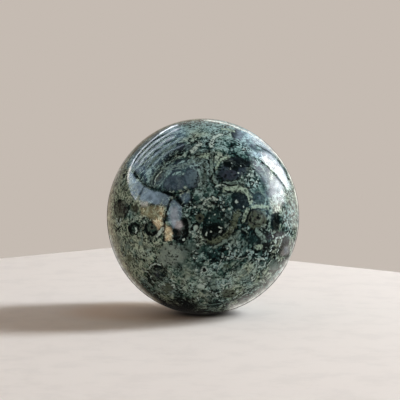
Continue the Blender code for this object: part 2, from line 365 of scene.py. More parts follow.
# A strand's width, and the places that it runs through. Strands of one colour lie in one layer, and later
# layers cover earlier ones.
STRANDS = {
    "khaki": {
        "olive crescent": (2.3, (238, 211.5), (235.8, 217), (233.4, 225), (230.6, 231), (226, 236),
            (219, 240), (210, 242)),
        "brown edge of the great eye": (0.9, (204.6, 237), (209, 241.5), (216, 243)),
    },
    "haze": {
        "branch to the left of it": (1.2, (204.6, 165), (205, 173), (204.4, 182)),
        "outer ring of the black brown eye": (0.9, (187.5, 219), (189.5, 228), (189, 236), (185, 244)),
    },
    "sage": {
        "upright strand": (1.3, (211.6, 152), (211.2, 160), (211.6, 170), (212.4, 178), (216, 182.6)),
        "green under the violet eye": (1.5, (222, 183.4), (231, 183.2), (241, 182.4)),
        "upright strand's foot": (1, (212, 181), (215, 183), (219.5, 186), (224.3, 189.4)),
        "thin strand under the band": (0.7, (219.5, 194.5), (225.2, 195.6), (231.7, 193.3)),
        "grey green lens": (1.1, (240, 231), (237.5, 233), (235, 238), (232.5, 242.5)),
        "green thread right of the olive eye": (0.8, (268.6, 208.6), (270.4, 214), (270, 221), (268, 228)),
        "fragment of the upper left": (1.5, (190, 156.6), (195, 157.6), (199, 153.6)),
        "pale fragment": (2.3, (257.5, 231), (260.5, 233.6), (263.4, 237)),
        "pale foot of the tall brown eye": (0.8, (127, 243), (131, 240), (134, 243)),
        "blob of the crown": (1.2, (208.5, 151), (209.6, 151)),
        "brown crescent": (0.7, (242.5, 229.5), (245.5, 230.5), (248, 234)),
        "sage strip at the left": (1, (141, 231), (142, 240)),
        "loop at the left": (0.6, (122, 243.5), (121.5, 250), (123.5, 256), (126, 252), (125.5, 244)),
        "thread at the left": (0.5, (135, 255), (138, 264)),
        "band right of the navy eye": (1, (166.5, 272.5), (169.5, 274.5), (168, 277.5), (166, 281.5)),
        "outer crescent of the navy eye": (0.9, (145, 281.5), (147, 284.5), (150, 286.5)),
        "pale patch right of it": (0.9, (262, 241.5), (266, 241.5)),
        "patch of the lower right": (1.2, (261.5, 271), (261, 277)),
        "green diagonal thread": (0.8, (243, 258), (236.5, 265.5)),
        "band of the lower right": (1.5, (244, 271), (247, 276.5), (249, 280)),
        "loop at the bottom left": (0.8, (181.5, 292), (185, 292), (189.5, 294.5), (191, 297.5)),
        "patch at the bottom left": (1.3, (175, 292.5), (177, 292.5)),
        "bottom line": (0.7, (200, 305.4), (214, 304.2), (230.9, 301.2)),
        "bottom arc of the bottom eye": (0.9, (199.5, 303), (204, 305.5), (209, 303.5)),
        "upright streak": (1.6, (213, 279), (213.5, 289)),
        "rim strand": (0.9, (292, 216), (293, 224), (291, 231)),
        "rim strand below": (0.8, (296, 232), (294, 243)),
        "branch of the vein": (0.6, (272, 233), (276.5, 232.5)),
        "streak over the upper left": (0.9, (138, 163), (148, 152), (161, 142)),
        "second streak there": (0.9, (146, 168), (156, 156), (170, 146)),
        "outer outline of the tilted eye": (0.9, (149.6, 188), (151.4, 180), (155, 173), (161, 168.4),
            (166, 168)),
        "long sage band of the upper left": (1.1, (166, 168), (178, 166), (190, 163), (198, 160)),
        "wavy streak of the upper left": (0.8, (150, 163), (156, 158.6), (163, 156), (168, 151),
            (174, 144.6), (181, 139)),
        "curved streak there": (0.7, (164, 163), (167, 169), (174, 170), (184, 167), (192, 161)),
        "second wavy streak": (0.7, (146, 171), (151, 166), (155, 159), (160, 152), (168, 146)),
        "olive crescent's pale edge": (1.2, (239, 231.5), (231, 237.5), (224, 242), (219, 245),
            (213.5, 247.4)),
    },
    "celery": {
        "grey strand": (1.5, (248, 209.4), (245.6, 214), (243.4, 221.4)),
        "green lintel": (1.5, (252.6, 207.8), (257, 206.6), (262, 206.6), (268, 207.6)),
        "hooked band": (2, (224.5, 190), (228, 188.4), (233.3, 187.4), (240, 188), (246, 191), (249.5, 196),
            (250.6, 202)),
        "its thick part": (1.6, (232, 189.6), (238, 190), (243, 190.8)),
        "leaf beside the violet eye": (0.9, (216.4, 169), (217.8, 164.6), (220, 160.6), (223.4, 157.8),
            (226.6, 156.6)),
        "prong of the leaf": (0.8, (212.8, 159.6), (215.6, 162.6)),
        "blocky patch": (2.9, (203.2, 156.3), (206.8, 155.6)),
        "patch of the crown": (1.8, (223, 129), (229, 129.4), (233, 131)),
        "soft moss blob": (2.2, (257.4, 247), (260.6, 247)),
    },
    "jet": {
        # Painted shade: the first four darken the stone where the mirrored cards show dark bars
        "painted dark bar of the mirrored frame": (1.5, (165, 192), (171, 194), (176.4, 198), (183.4, 206)),
        "painted upper part of the mirrored bar": (0.55, (136, 174.4), (139, 178.4), (143.6, 184), (150, 187), (158, 190),
            (166, 192.6)),
        "dark line right of it": (0.7, (174, 194), (180, 192.8), (185, 191.2), (191.4, 189)),
        "painted dark line below the mirrored bar": (0.8, (172, 197.6), (169.4, 204), (166.6, 212), (165, 220), (164.2, 230),
            (164, 241)),
        "ring of the crescent eye": (0.8, (129.4, 232), (128.6, 227.6), (131, 223.8), (135, 223.2),
            (138.6, 226)),
        "ring of the black crescent eye": (1.3, (146, 224), (145.4, 229), (148, 233.6), (152.6, 235),
            (157, 232.4)),
        "right side of the black brown eye": (1, (184.6, 219), (187.6, 226), (187, 235), (182, 242)),
        "outline of the pale fingers": (0.6, (113.6, 222), (115.4, 227), (118.8, 228.6), (122.4, 225),
            (124, 218)),
        "left foot of the great eye": (1, (203.6, 227), (203.4, 232.6), (206, 237.6)),
    },
    "ink": {
        "dark line left of the upright strand": (0.7, (209.3, 150), (209, 160), (209.3, 170), (210.3, 179),
            (214, 183.5), (221.5, 189.5)),
        "dark line right of it": (0.7, (214, 153), (213.8, 162), (214.4, 170), (215.4, 177.6), (221, 182.8),
            (229, 184.8)),
        "line over the hooked band": (0.6, (226, 186.3), (236, 184.9), (247, 187.5), (253, 194),
            (255, 203)),
        "dark diagonal": (1.2, (165.6, 160.5), (170, 158.4), (175, 153.6), (180, 151.6)),
        "black crescent of the navy eye": (1.3, (147.5, 276), (148.5, 280.5), (152.5, 285), (157, 286)),
        "black top of the navy eye": (1.4, (152, 267.5), (157, 266.3), (162, 267.8)),
        "black crescent": (1.4, (146.5, 223), (145.6, 228), (147.2, 232.5), (151, 234.6), (155.5, 233),
            (158.5, 229)),
        "arc over the crescent eye": (1, (130.8, 226.5), (133.5, 223.8), (137.6, 225), (138.8, 229)),
        "black mass of the crescent eye": (1.5, (130.5, 226.5), (130.3, 231), (132.5, 234.3)),
        "line under the sliver": (0.6, (157.5, 238), (161.5, 233.5)),
        "border of the black brown eye": (1.2, (184.5, 217), (187, 224), (186.4, 233), (181, 242.5),
            (174.5, 238.5)),
        "dark arc of the teal patch": (0.9, (145.5, 240.4), (148.5, 242.3), (151, 241.2)),
        "slit in the loop": (0.7, (123.8, 247.5), (123.8, 250.5)),
        "slit in the crescent": (0.7, (233, 234.5), (234.6, 231)),
        "brown slit": (0.9, (245, 234.5), (245, 237.5)),
        "arc over the pale dot": (0.9, (191.4, 228.6), (193.4, 225), (197, 223.4), (201, 225.4),
            (202, 229)),
        "left edge of the great eye": (1.2, (204.4, 226), (203, 231), (205, 236.4), (211, 240.2)),
        "line left of the grey strand": (0.8, (243.4, 210), (241.6, 216), (240.6, 223)),
        "line right of the grey strand": (1, (250.6, 210), (248, 215), (246.4, 222), (246.6, 228)),
        "line under the lintel": (0.6, (252, 209.6), (258, 208.8), (264, 209.2)),
        "line under the hooked band": (0.7, (227, 191.6), (234, 191.4), (241, 192.8), (245.4, 196),
            (247.6, 201)),
        "line left of the crescent": (0.6, (233.6, 209), (231.8, 216), (229.6, 224), (226.6, 230.4),
            (221, 235.6)),
        "dark arc of the olive eye": (0.6, (252.4, 213.4), (250.4, 217), (251, 221.6), (254.6, 224.4),
            (259.6, 224.6)),
        "brown spindle": (1.1, (263, 223), (265.4, 229), (267.6, 235)),
        "outline of the pale fragment": (0.5, (253.6, 231), (257, 236), (262, 241)),
        "second outline of it": (0.5, (259.4, 229.6), (264, 233.4), (267, 238.4)),
        "right of the bottom eye": (1, (218.3, 291.5), (218.6, 297.5)),
        "under the bottom loop": (0.8, (182, 295.2), (183.4, 297)),
        "under the bottom olive eye": (0.7, (227, 296.3), (232, 296.5)),
        "edge of the upright violet eye": (0.8, (278.6, 214), (279, 221), (277.6, 228.5)),
        "shoulder by the highlight": (1, (279.6, 163), (284.5, 172), (288, 179)),
        "line over the rim highlight": (0.6, (256, 145), (263, 149), (269, 152.5)),
        "line over the violet grey patch": (1, (165, 172.4), (172, 171), (182, 170), (190, 168.6),
            (198, 167)),
        "line between the two patches": (0.7, (181.6, 171), (184, 178), (186.6, 186)),
        "dark ring of the tilted eye": (0.6, (152.8, 187), (153.2, 180.4), (156, 174.4), (161, 169.8)),
        "dark of the wavy streaks": (0.9, (154, 166), (160, 161), (166, 159.6), (174, 156)),
        "dark streak of the upper left": (0.8, (141, 170), (150, 158), (163, 148)),
        "second dark streak there": (0.6, (135, 163), (146, 150), (158, 140)),
        "dark under the green": (0.6, (203, 163), (205, 172), (203, 179)),
        "dark thread left of it": (0.5, (196, 165), (198, 175), (196, 184)),
        "black by the rim": (0.8, (294, 197), (294.6, 203), (295.4, 207)),
        "black over it": (0.7, (291.2, 206), (293, 209)),
        "black chain by the rim": (1, (281.6, 224), (284, 222.6), (286.4, 220)),
        "line over the vein": (0.8, (274, 235), (277, 232.6), (282, 234), (286, 231.6), (290, 232)),
        "line left of the vein": (0.6, (270, 236), (273.6, 238), (278, 237.6)),
        "dark beside the tail": (0.7, (283.6, 240), (282.6, 245), (280.4, 250)),
    },
    "bone": {
        "ring arc of the centre": (0.8, (203.8, 203.6), (205.4, 200.6), (209, 198.6), (213, 197.4),
            (217.6, 199.4)),
        "arc of the crown": (1.4, (211.3, 146), (212.2, 141), (214, 137.6), (217, 135.6), (221, 134.4)),
        "network of the violet eye": (0.5, (246.6, 176), (250, 174), (253, 176)),
        "its lower side": (0.5, (251, 184.6), (254, 182.6), (257, 181.6)),
        "pale thread over the hooked band": (0.5, (216, 186.6), (221, 184.6), (226, 186)),
        "diagonal fragment": (1.7, (192, 151.4), (199.8, 143.7)),
        "pale vein": (0.9, (288.6, 233), (284.5, 235.2), (281.5, 237), (276, 238.6)),
        "vein's tail": (0.6, (282.6, 237.4), (281, 242), (279.4, 247), (277.5, 252), (276, 258)),
        "squiggle": (0.6, (272.5, 246), (270.8, 248), (271.2, 249.6), (270, 251)),
        "dash by the vein": (0.6, (272.6, 235), (273.4, 237)),
        "fork": (0.8, (221, 284), (223.4, 285.6), (222.6, 290), (221, 291.5)),
        "fork's branch": (0.7, (223.5, 285.4), (229, 283), (230.5, 287)),
        "arc of the bottom eye": (0.8, (210.5, 291.4), (215.5, 293.8), (217.4, 296.6)),
        "left of the bottom eye": (0.7, (197.6, 297.6), (198.6, 300.6)),
        "long scratch": (0.5, (233.5, 298.5), (241, 293), (246.5, 289), (254, 284.5), (262, 281)),
        "second scratch": (0.4, (236.5, 300), (241, 297), (248, 291.5), (255, 286.5)),
        "threads over the navy eye": (0.6, (149.5, 268), (152, 265), (156, 263.6), (160.8, 265.2)),
        "inner crescent of the navy eye": (0.7, (151, 276.6), (151.6, 280), (153.5, 282.2)),
        "threads left of the navy eye": (0.5, (142.6, 269.6), (145.6, 271.6), (148.6, 272.6)),
        "pale fingers": (1.2, (116.6, 219.4), (117.2, 223.4), (119, 224.4), (120.4, 222), (120.4, 218.8)),
        "crescent eye's inside": (0.9, (135.8, 228.4), (136.6, 230.4), (135.6, 232.6)),
        "pale sliver": (1.3, (156.8, 235.6), (159.6, 232.6), (162.2, 229)),
        "left fleck of the great eye": (0.6, (205.8, 235), (206.4, 232.4)),
        "right fleck of the great eye": (0.7, (218.6, 227), (221.4, 228.6)),
        "fleck under it": (0.6, (221.6, 230.6), (219.6, 232.6)),
        "inner ring of the tilted eye": (0.5, (155, 184.6), (155.2, 179.6), (157.6, 175), (161.6, 171.4)),
        "tail of the ring eye": (0.6, (200.8, 272.6), (202.4, 271.8)),
        "crescent under the haze": (0.5, (193.2, 257.4), (195.2, 259), (197.2, 257.8)),
        "slits of the middle": (0.4, (192.6, 251.4), (194.6, 250.6)),
        "second slit": (0.4, (194.6, 253.4), (197.6, 252.4)),
        "thread of the middle": (0.5, (222.5, 257.3), (226, 257.3), (229, 258.5)),
        "second thread": (0.5, (234.5, 256), (239, 259), (243, 258.4), (247, 256.5)),
        "third thread": (0.5, (207.5, 264), (208.6, 261), (211, 259.5)),
        "fourth thread": (0.5, (221.5, 260), (220.6, 263), (219.5, 266)),
        "fifth thread": (0.5, (218.5, 268), (217, 271)),
        "net of the lower right": (0.6, (255.6, 258.6), (259.6, 259.4), (263.4, 258.6), (265.6, 262.4),
            (263.8, 266.4), (259.4, 267), (257.6, 262.8), (259.6, 259.4)),
        "net's tail": (0.5, (259.4, 267), (256, 269.2)),
        "thin line of the lower right": (0.4, (271.5, 260), (270, 262), (268.5, 264)),
        "dash of the lower right": (0.6, (279, 260.6), (280.2, 259.4)),
        "second dash": (0.5, (276, 259.6), (277, 258.4)),
        "third dash": (0.5, (268.8, 269.6), (270.2, 269)),
        "row at the lower left": (0.6, (164, 294), (167.4, 294.4), (171, 293.8)),
        "crescent of the olive patch": (0.6, (159.2, 284.2), (158.8, 286), (160.6, 287.6)),
        "pinkish ringlet": (0.7, (171.8, 285.6), (173.8, 284.8), (175, 286.6), (173.4, 288)),
        "dash under the black brown eye": (0.7, (182.6, 239.8), (184.4, 239.2)),
        "bright spot of the crown": (0.9, (196.8, 121.6), (198.8, 121.2)),
        "rim thread": (0.5, (290, 208), (292, 213), (291.4, 220)),
        "second rim thread": (0.5, (287, 222), (289.4, 228), (288, 234)),
        "triangle": (0.6, (251.2, 276.4), (255.4, 277.6), (252.6, 281), (251.2, 276.4)),
    },
}

# Round spots: where each is, and how wide
SPOTS = {
    "bone": [
        (236.5, 201.6, 1.35), (243.6, 206.7, 0.8), (230.6, 168.6, 0.8), (231.4, 163.2, 0.7),
        (238.4, 172.8, 0.7), (241, 166, 0.6), (211, 231.5, 0.8), (209.4, 217.8, 0.6), (214.8, 214.4, 0.6),
        (221.6, 219.6, 0.6), (196, 227.5, 1.9), (190, 232.3, 0.8), (193, 234, 0.8), (198, 232, 0.8),
        (201.6, 199.7, 1.1), (214.9, 199.4, 1.2), (223.3, 209.8, 1.1), (229.8, 209, 1.1), (223.3, 202, 1),
        (208.4, 206.2, 0.9), (195.2, 206.8, 0.9), (218.8, 206, 0.7), (144.8, 222.4, 1.1), (201.4, 286, 3.2),
        (204.4, 284.4, 1.6), (200.8, 280.2, 1.5), (210, 278.5, 1), (227.3, 248.7, 0.9), (230, 251.5, 0.9),
        (229.5, 253.5, 0.7), (247.2, 250.6, 0.9), (239.5, 270, 0.9), (196.7, 270, 0.9), (236, 250.5, 0.9),
        (222.8, 279, 0.9), (223.4, 282, 0.8), (236.2, 286, 0.8), (219.3, 300.4, 0.8), (222.2, 301.3, 0.8),
        (231, 302.5, 0.8), (237, 291.5, 1.3), (260.8, 280.5, 0.8), (262.5, 282, 0.7), (164.5, 285, 0.8),
        (160.5, 290.3, 0.8), (171, 279.5, 0.9), (173.6, 281.8, 0.8), (169.5, 282.8, 0.8),
        (275.7, 241.5, 1.5), (197.5, 245, 1), (244, 149.4, 1.2), (257, 175, 0.7), (246, 179.4, 0.6),
        (257.8, 179.4, 0.6), (249, 187, 0.6),
    ],
    "sage": [
        (140.5, 243.5, 2), (206, 263.5, 1.9), (225.5, 269.5, 2.2), (238.5, 269.5, 1.9), (240.5, 273.5, 1.8),
        (242, 278.8, 1.8), (147.5, 252.5, 0.9), (151.5, 254, 0.9), (155.5, 255.5, 0.9), (149, 256.8, 0.8),
    ],
    "ink": [
        (204.6, 270, 1.5), (232.6, 293.6, 1.3), (286.6, 228, 1.4), (282.6, 223.6, 1.2), (292.2, 207.6, 1.3),
        (282.6, 208.6, 1), (280.6, 199, 0.9), (285.6, 213, 0.9), (240.2, 190.6, 0.8), (225.6, 191, 0.8),
        (257.8, 217.6, 1.2), (249.7, 220.3, 1.1), (247.9, 223.6, 1), (251.5, 228.5, 1.1), (228, 163.6, 3),
        (152.3, 222, 1.1), (151.8, 227.4, 1.2), (180.6, 152, 1.2), (196, 141.8, 1.2), (144.2, 260, 1.1),
        (171.4, 243.6, 1.3), (240.5, 281, 0.9), (205.8, 287, 1), (202.5, 290.5, 0.9), (251, 279.3, 0.6),
        (241.8, 246, 1.1), (200, 218, 1.5), (255.2, 176, 0.9), (249.6, 179, 0.9), (253.4, 182.6, 0.9),
        (176.5, 286, 0.8),
    ],
}


# The sides that the photograph doesn't show get markings of the same kinds. A scatter is how many there are
# of a kind, how far apart at least, and the half lengths that they have, in millimetres.
Scatter = namedtuple("Scatter", "count apart sizes")
Trail = namedtuple("Trail", "width places")
HIDDEN_SEED = 11
HIDDEN_TRIES = 4000
HIDDEN_ZONES = Scatter(14, 0.012, (7.0, 10.0, 14.0))
HIDDEN_CLOUDS = Scatter(9, 0.014, (4.0, 6.0, 9.0))
HIDDEN_EYES = Scatter(34, 0.011, (1.8, 2.4, 3.2, 4.2, 5.4, 6.8))
HIDDEN_STRANDS = Scatter(60, 0.005, (0.5, 0.6, 0.8, 1.1, 1.6))  # these sizes are widths
HIDDEN_SPOTS = Scatter(25, 0.003, (0.3, 0.9))  # and these the smallest and the largest radius
ROUNDNESS = (0.6, 1.0)  # their widths as a share of their lengths
HIDDEN_TONES = (-0.26, 0.16)
HIDDEN_WARMTHS = (-0.7, 0.7)
HIDDEN_STREAKS = (0.0, 0.0, 1.6)
HIDDEN_LACE = (-0.35, 0.15)
HIDDEN_TINTS = ("mist", "haze", "haze", "mauve", "teal", "olive")
HIDDEN_COVERS = (0.5, 0.85)
HIDDEN_LOOKS = (
    "violet", "night", "night", "olive", "smoky", "crescent", "burnt", "navy", "teal night", "dusk", "violet",
    "brown",
)
HIDDEN_LAYERS = ("haze", "sage", "sage", "celery", "ink", "jet", "bone", "bone", "khaki")
STRIDES = (0.0010, 0.0032)  # the shortest and the longest stretch of a hidden strand
STRIDE_COUNTS = (2, 5)
BEND = 0.7  # the most that it turns at every stride, in radians
WANDER = 0.3  # and the most that one turn differs from the others

# What runs round a hidden eye: a dark line, and a pale band further out, as shares of the way to its edge
LINE_WIDTH = 1.1
LINE_AT = 1.04
BANDS = ("haze", "sage", "sage", "celery", "khaki")
BAND_WIDTHS = (1.0, 1.5, 2.2)
BAND_AT = 1.40
RING_SWEEPS = (1.6, 4.6)  # how far they run, in radians
RING_STRETCHES = 6


class Recipe:
    """Writes a node tree step by step. Each step takes numbers or earlier results, and hands back its own."""

    def __init__(self, tree):
        self.tree = tree

    def give(self, socket, value):
        if isinstance(value, bpy.types.NodeSocket):
            self.tree.links.new(value, socket)
        else:
            socket.default_value = value

    def node(self, kind, given=(), **settings):
        made = self.tree.nodes.new(kind)
        for name, value in settings.items():
            setattr(made, name, value)
        for socket, value in dict(given).items():
            self.give(made.inputs[socket], value)
        return made

    def lay(self, group, given):
        made = self.tree.nodes.new("ShaderNodeGroup")
        made.node_tree = group
        for socket, value in given.items():
            self.give(made.inputs[socket], value)
        return made.outputs

    def maths(self, operation, *values):
        made = self.node("ShaderNodeMath", enumerate(values), operation=operation)
        return made.outputs["Value"]

    def vector(self, operation, *values):
        made = self.node("ShaderNodeVectorMath", enumerate(values), operation=operation)
        return made.outputs["Vector"]

    def multiply(self, first, second):
        return self.maths("MULTIPLY", first, second)

    def sway(self, base, noise, amount):
        """The base, raised and lowered as a noise moves about its middle."""
        swing = self.maths("SUBTRACT", noise, 0.5)
        return self.maths("MULTIPLY_ADD", swing, amount, base)

    def measure(self, operation, *values):
        made = self.node("ShaderNodeVectorMath", enumerate(values), operation=operation)
        return made.outputs["Value"]

    def fade(self, value, start, end):
        """0 up to start and 1 from end on, or the other way round where start is the larger."""
        given = {"Value": value, "From Min": start, "From Max": end}
        made = self.node("ShaderNodeMapRange", given, interpolation_type="SMOOTHSTEP", clamp=False)
        return made.outputs["Result"]

    def mix(self, share, first, second):
        made = self.node("ShaderNodeMix", {0: share, 6: first, 7: second}, data_type="RGBA")
        return made.outputs[2]

    def paint(self, under, tint, cover, strength):
        """The colour under a tint, which covers it as far as a mask and a strength say."""
        return self.mix(self.multiply(cover, strength), under, tint)

    def tinted(self, first, second):
        given = {0: 1.0, 6: first, 7: second}
        return self.node("ShaderNodeMix", given, data_type="RGBA", blend_type="MULTIPLY").outputs[2]

    def noise(self, place, scale, detail=2.0, roughness=0.5, distortion=0.0, output="Fac"):
        given = {"Vector": place, "Scale": scale, "Detail": detail, "Roughness": roughness}
        return self.node("ShaderNodeTexNoise", {**given, "Distortion": distortion}).outputs[output]


VECTORS = {"Place", "Middle", "Long", "Wide", "Deep", "Start", "Span", "Reach"}
COLOURS = {"Colour", "Tint", "Heart", "Body", "Ring", "Rim"}
OVAL = ("Place", "Middle", "Long", "Wide", "Deep")
GROUND = ("Tone", "Warmth", "Streaks", "Lace")
PAINTED = ("Colour", "Calm")
FAR_OFF = 9.0  # further from any strand or dot than shows


def socket_type(name):
    """What kind of socket carries a value of that name."""
    if name in VECTORS:
        return "NodeSocketVector"
    return "NodeSocketColor" if name in COLOURS else "NodeSocketFloat"


def new_group(name, inputs, outputs):
    """An empty node group with those sockets, its recipe, and what comes in."""
    tree = bpy.data.node_groups.new(name, "ShaderNodeTree")
    for in_out, sockets in (("INPUT", inputs), ("OUTPUT", outputs)):
        for socket in sockets:
            tree.interface.new_socket(socket, in_out=in_out, socket_type=socket_type(socket))
    return tree, Recipe(tree), tree.nodes.new("NodeGroupInput").outputs


def close_group(recipe, results):
    """Hands a group's results out."""
    recipe.node("NodeGroupOutput", results)


def out_of_oval(recipe, given):
    """How far a place is from an oval's middle, as a share of the way to its edge."""
    away = recipe.vector("SUBTRACT", given["Place"], given["Middle"])
    own = {}
    for axis, way in (("X", "Long"), ("Y", "Wide"), ("Z", "Deep")):
        own[axis] = recipe.measure("DOT_PRODUCT", away, given[way])
    return recipe.measure("LENGTH", recipe.node("ShaderNodeCombineXYZ", own).outputs["Vector"])


def zone_group():
    """A soft stretch of the stone that is lighter, warmer, more streaked or more threaded than the rest."""
    inputs = (*GROUND, *OVAL, *(f"{part} by" for part in GROUND))
    tree, recipe, given = new_group("stone zone", inputs, GROUND)
    share = recipe.fade(out_of_oval(recipe, given), 1.35, 0.25)
    results = {part: recipe.maths("MULTIPLY_ADD", share, given[f"{part} by"], given[part]) for part in GROUND}
    close_group(recipe, results)
    return tree


def cloud_group():
    """A soft edged oval of one colour, which also keeps the stone's flecks off."""
    inputs = (*PAINTED, "Wobble", *OVAL, "Tint", "Strength")
    tree, recipe, given = new_group("soft cloud", inputs, PAINTED)
    out = recipe.maths("ADD", out_of_oval(recipe, given), given["Wobble"])
    share = recipe.multiply(recipe.fade(out, 1.15, 0.55), given["Strength"])
    painted = recipe.mix(share, given["Colour"], given["Tint"])
    close_group(recipe, {"Colour": painted, "Calm": recipe.maths("MAXIMUM", given["Calm"], share)})
    return tree


def eye_group():
    """An oval with a heart, a body, a ring and a rim, which also keeps the stone's flecks off."""
    inputs = (
        *PAINTED, "Wobble", *OVAL, "Heart", "Body", "Ring", "Rim", "Heart from", "Heart to", "Body from",
        "Body to", "Ring from", "Ring to", "Edge from", "Strength", "Calmness",
    )
    tree, recipe, given = new_group("stone eye", inputs, PAINTED)
    out = recipe.maths("ADD", out_of_oval(recipe, given), given["Wobble"])
    bands = given["Heart"]
    for inner, outer in (("Heart", "Body"), ("Body", "Ring"), ("Ring", "Rim")):
        share = recipe.fade(out, given[f"{inner} from"], given[f"{inner} to"])
        bands = recipe.mix(share, bands, given[outer])
    cover = recipe.fade(out, 1.08, given["Edge from"])
    painted = recipe.paint(given["Colour"], bands, cover, given["Strength"])
    calm = recipe.multiply(cover, given["Calmness"])
    close_group(recipe, {"Colour": painted, "Calm": recipe.maths("MAXIMUM", given["Calm"], calm)})
    return tree


def stretch_group():
    """How far a place is from a straight stretch of a strand, in half widths, or from an earlier one."""
    inputs = ("Nearest", "Place", "Start", "Span", "Reach", "Half width")
    tree, recipe, given = new_group("strand stretch", inputs, ("Nearest",))
    away = recipe.vector("SUBTRACT", given["Place"], given["Start"])
    along = recipe.measure("DOT_PRODUCT", away, given["Reach"])
    along = recipe.node("ShaderNodeClamp", {"Value": along}).outputs["Result"]
    step = recipe.node("ShaderNodeVectorMath", {0: given["Span"], 3: along}, operation="SCALE")
    gap = recipe.measure("DISTANCE", away, step.outputs["Vector"])
    gap = recipe.maths("DIVIDE", gap, given["Half width"])
    close_group(recipe, {"Nearest": recipe.maths("MINIMUM", gap, given["Nearest"])})
    return tree


def dot_group():
    """How far a place is from the middle of a small dot, in radii, or from an earlier dot."""
    tree, recipe, given = new_group("stone dot", ("Nearest", "Place", "Middle", "Radius"), ("Nearest",))
    gap = recipe.measure("DISTANCE", given["Place"], given["Middle"])
    gap = recipe.maths("DIVIDE", gap, given["Radius"])
    close_group(recipe, {"Nearest": recipe.maths("MINIMUM", gap, given["Nearest"])})
    return tree


def in_stone(point):
    """A point of the frame, in the recipe's millimetres from the ball's middle."""
    return (point - BALL_CENTRE) / MILLIMETRE


def oval_on_ball(mark):
    """The oval on the ball that shows as the mark does in the photograph."""
    point = CAMERA.on_ball(mark.x, mark.y)
    out = normal_at(point)
    sight = CAMERA.ray(mark.x, mark.y)
    facing = max(-sight.dot(out), STEEPEST)
    side = sight.cross(out)
    if side.length < MILLIMETRE:
        side = CAMERA.axes.col[0].copy()
    side.normalize()
    down_slope = side.cross(out).normalized()
    lean = math.radians(mark.lean)
    right, up = CAMERA.axes.col[0], CAMERA.axes.col[1]
    long_way = right * math.cos(lean) + up * math.sin(lean)
    wide_way = up * math.cos(lean) - right * math.sin(lean)
    slope_seen = down_slope + sight * -down_slope.dot(sight)
    slope_seen.normalize()
    columns = []
    for way, size in ((long_way, mark.long / 2), (wide_way, mark.wide / 2)):
        columns.append((way.dot(slope_seen) * size / facing, way.dot(side) * size))
    turned, sizes, _ = np.linalg.svd(np.array(columns).T)
    first = (down_slope * turned[0, 0] + side * turned[1, 0]).normalized()
    return oval_at(point, first, float(sizes[0]), float(sizes[1]))


def oval_at(point, long_way, long_half, wide_half):
    """Middle and axes of an oval on the ball. Each axis is as long as it takes to be 1 at the oval's edge."""
    out = normal_at(point)
    wide_way = out.cross(long_way)
    return {"Middle": in_stone(point), "Long": long_way / long_half, "Wide": wide_way / wide_half,
            "Deep": out / long_half}


def hidden_places(rng, count, apart):
    """Random places on the ball, apart from one another, that the photograph doesn't show."""
    places = []
    for _ in range(HIDDEN_TRIES):
        way = Vector((rng.gauss(0, 1), rng.gauss(0, 1), rng.gauss(0, 1))).normalized()
        place = BALL_CENTRE + Vector(a * b for a, b in zip(way, BALL_RADII))
        seen = (CAMERA.place - place).normalized().dot(normal_at(place)) > 0.0
        near = any((place - other).length < apart for other in places)
        if len(places) < count and not seen and not near:
            places.append(place)
    return places


def hidden_ovals(rng, scatter):
    """Ovals turned at random, on the sides that the photograph doesn't show."""
    ovals = []
    for place in hidden_places(rng, scatter.count, scatter.apart):
        out = normal_at(place)
        long_way = out.orthogonal().normalized()
        long_way.rotate(Quaternion(out, rng.uniform(0, math.pi)))
        size = rng.choice(scatter.sizes)
        ovals.append(oval_at(place, long_way, size, size * rng.uniform(*ROUNDNESS)))
    return ovals


def hidden_rings(rng, ovals):
    """Dark lines and pale bands that run part of the way around the hidden eyes. Gives a list per layer."""
    layers = {}
    radii = BALL_RADII / MILLIMETRE
    for oval in ovals:
        long_half = oval["Long"] / oval["Long"].length_squared
        wide_half = oval["Wide"] / oval["Wide"].length_squared
        start = rng.uniform(0, 2 * math.pi)
        line = ("ink", LINE_WIDTH, LINE_AT)
        band = (rng.choice(BANDS), rng.choice(BAND_WIDTHS), BAND_AT)
        for layer, width, share in (line, band):
            sweep = rng.uniform(*RING_SWEEPS)
            places = []
            for stretch in range(RING_STRETCHES + 1):
                angle = start + sweep * stretch / RING_STRETCHES
                place = oval["Middle"] + (long_half * math.cos(angle) + wide_half * math.sin(angle)) * share
                places.append(place / in_radii(place, radii).length)
            layers.setdefault(layer, []).append(Trail(width, places))
    return layers


def hidden_trails(rng):
    """Strands that wander over the hidden sides, each from a random place. Gives a list per layer."""
    layers = {}
    for place in hidden_places(rng, HIDDEN_STRANDS.count, HIDDEN_STRANDS.apart):
        heading = normal_at(place).orthogonal().normalized()
        heading.rotate(Quaternion(normal_at(place), rng.uniform(0, 2 * math.pi)))
        bend = rng.uniform(-BEND, BEND)
        stride = rng.uniform(*STRIDES)
        places = [place]
        for _ in range(rng.randint(*STRIDE_COUNTS)):
            heading.rotate(Quaternion(normal_at(place), bend + rng.uniform(-WANDER, WANDER)))
            ahead = place + heading * stride - BALL_CENTRE
            place = BALL_CENTRE + ahead / in_radii(ahead).length
            heading = (heading - normal_at(place) * heading.dot(normal_at(place))).normalized()
            places.append(place)
        trail = Trail(rng.choice(HIDDEN_STRANDS.sizes), [in_stone(point) for point in places])
        layers.setdefault(rng.choice(HIDDEN_LAYERS), []).append(trail)
    return layers


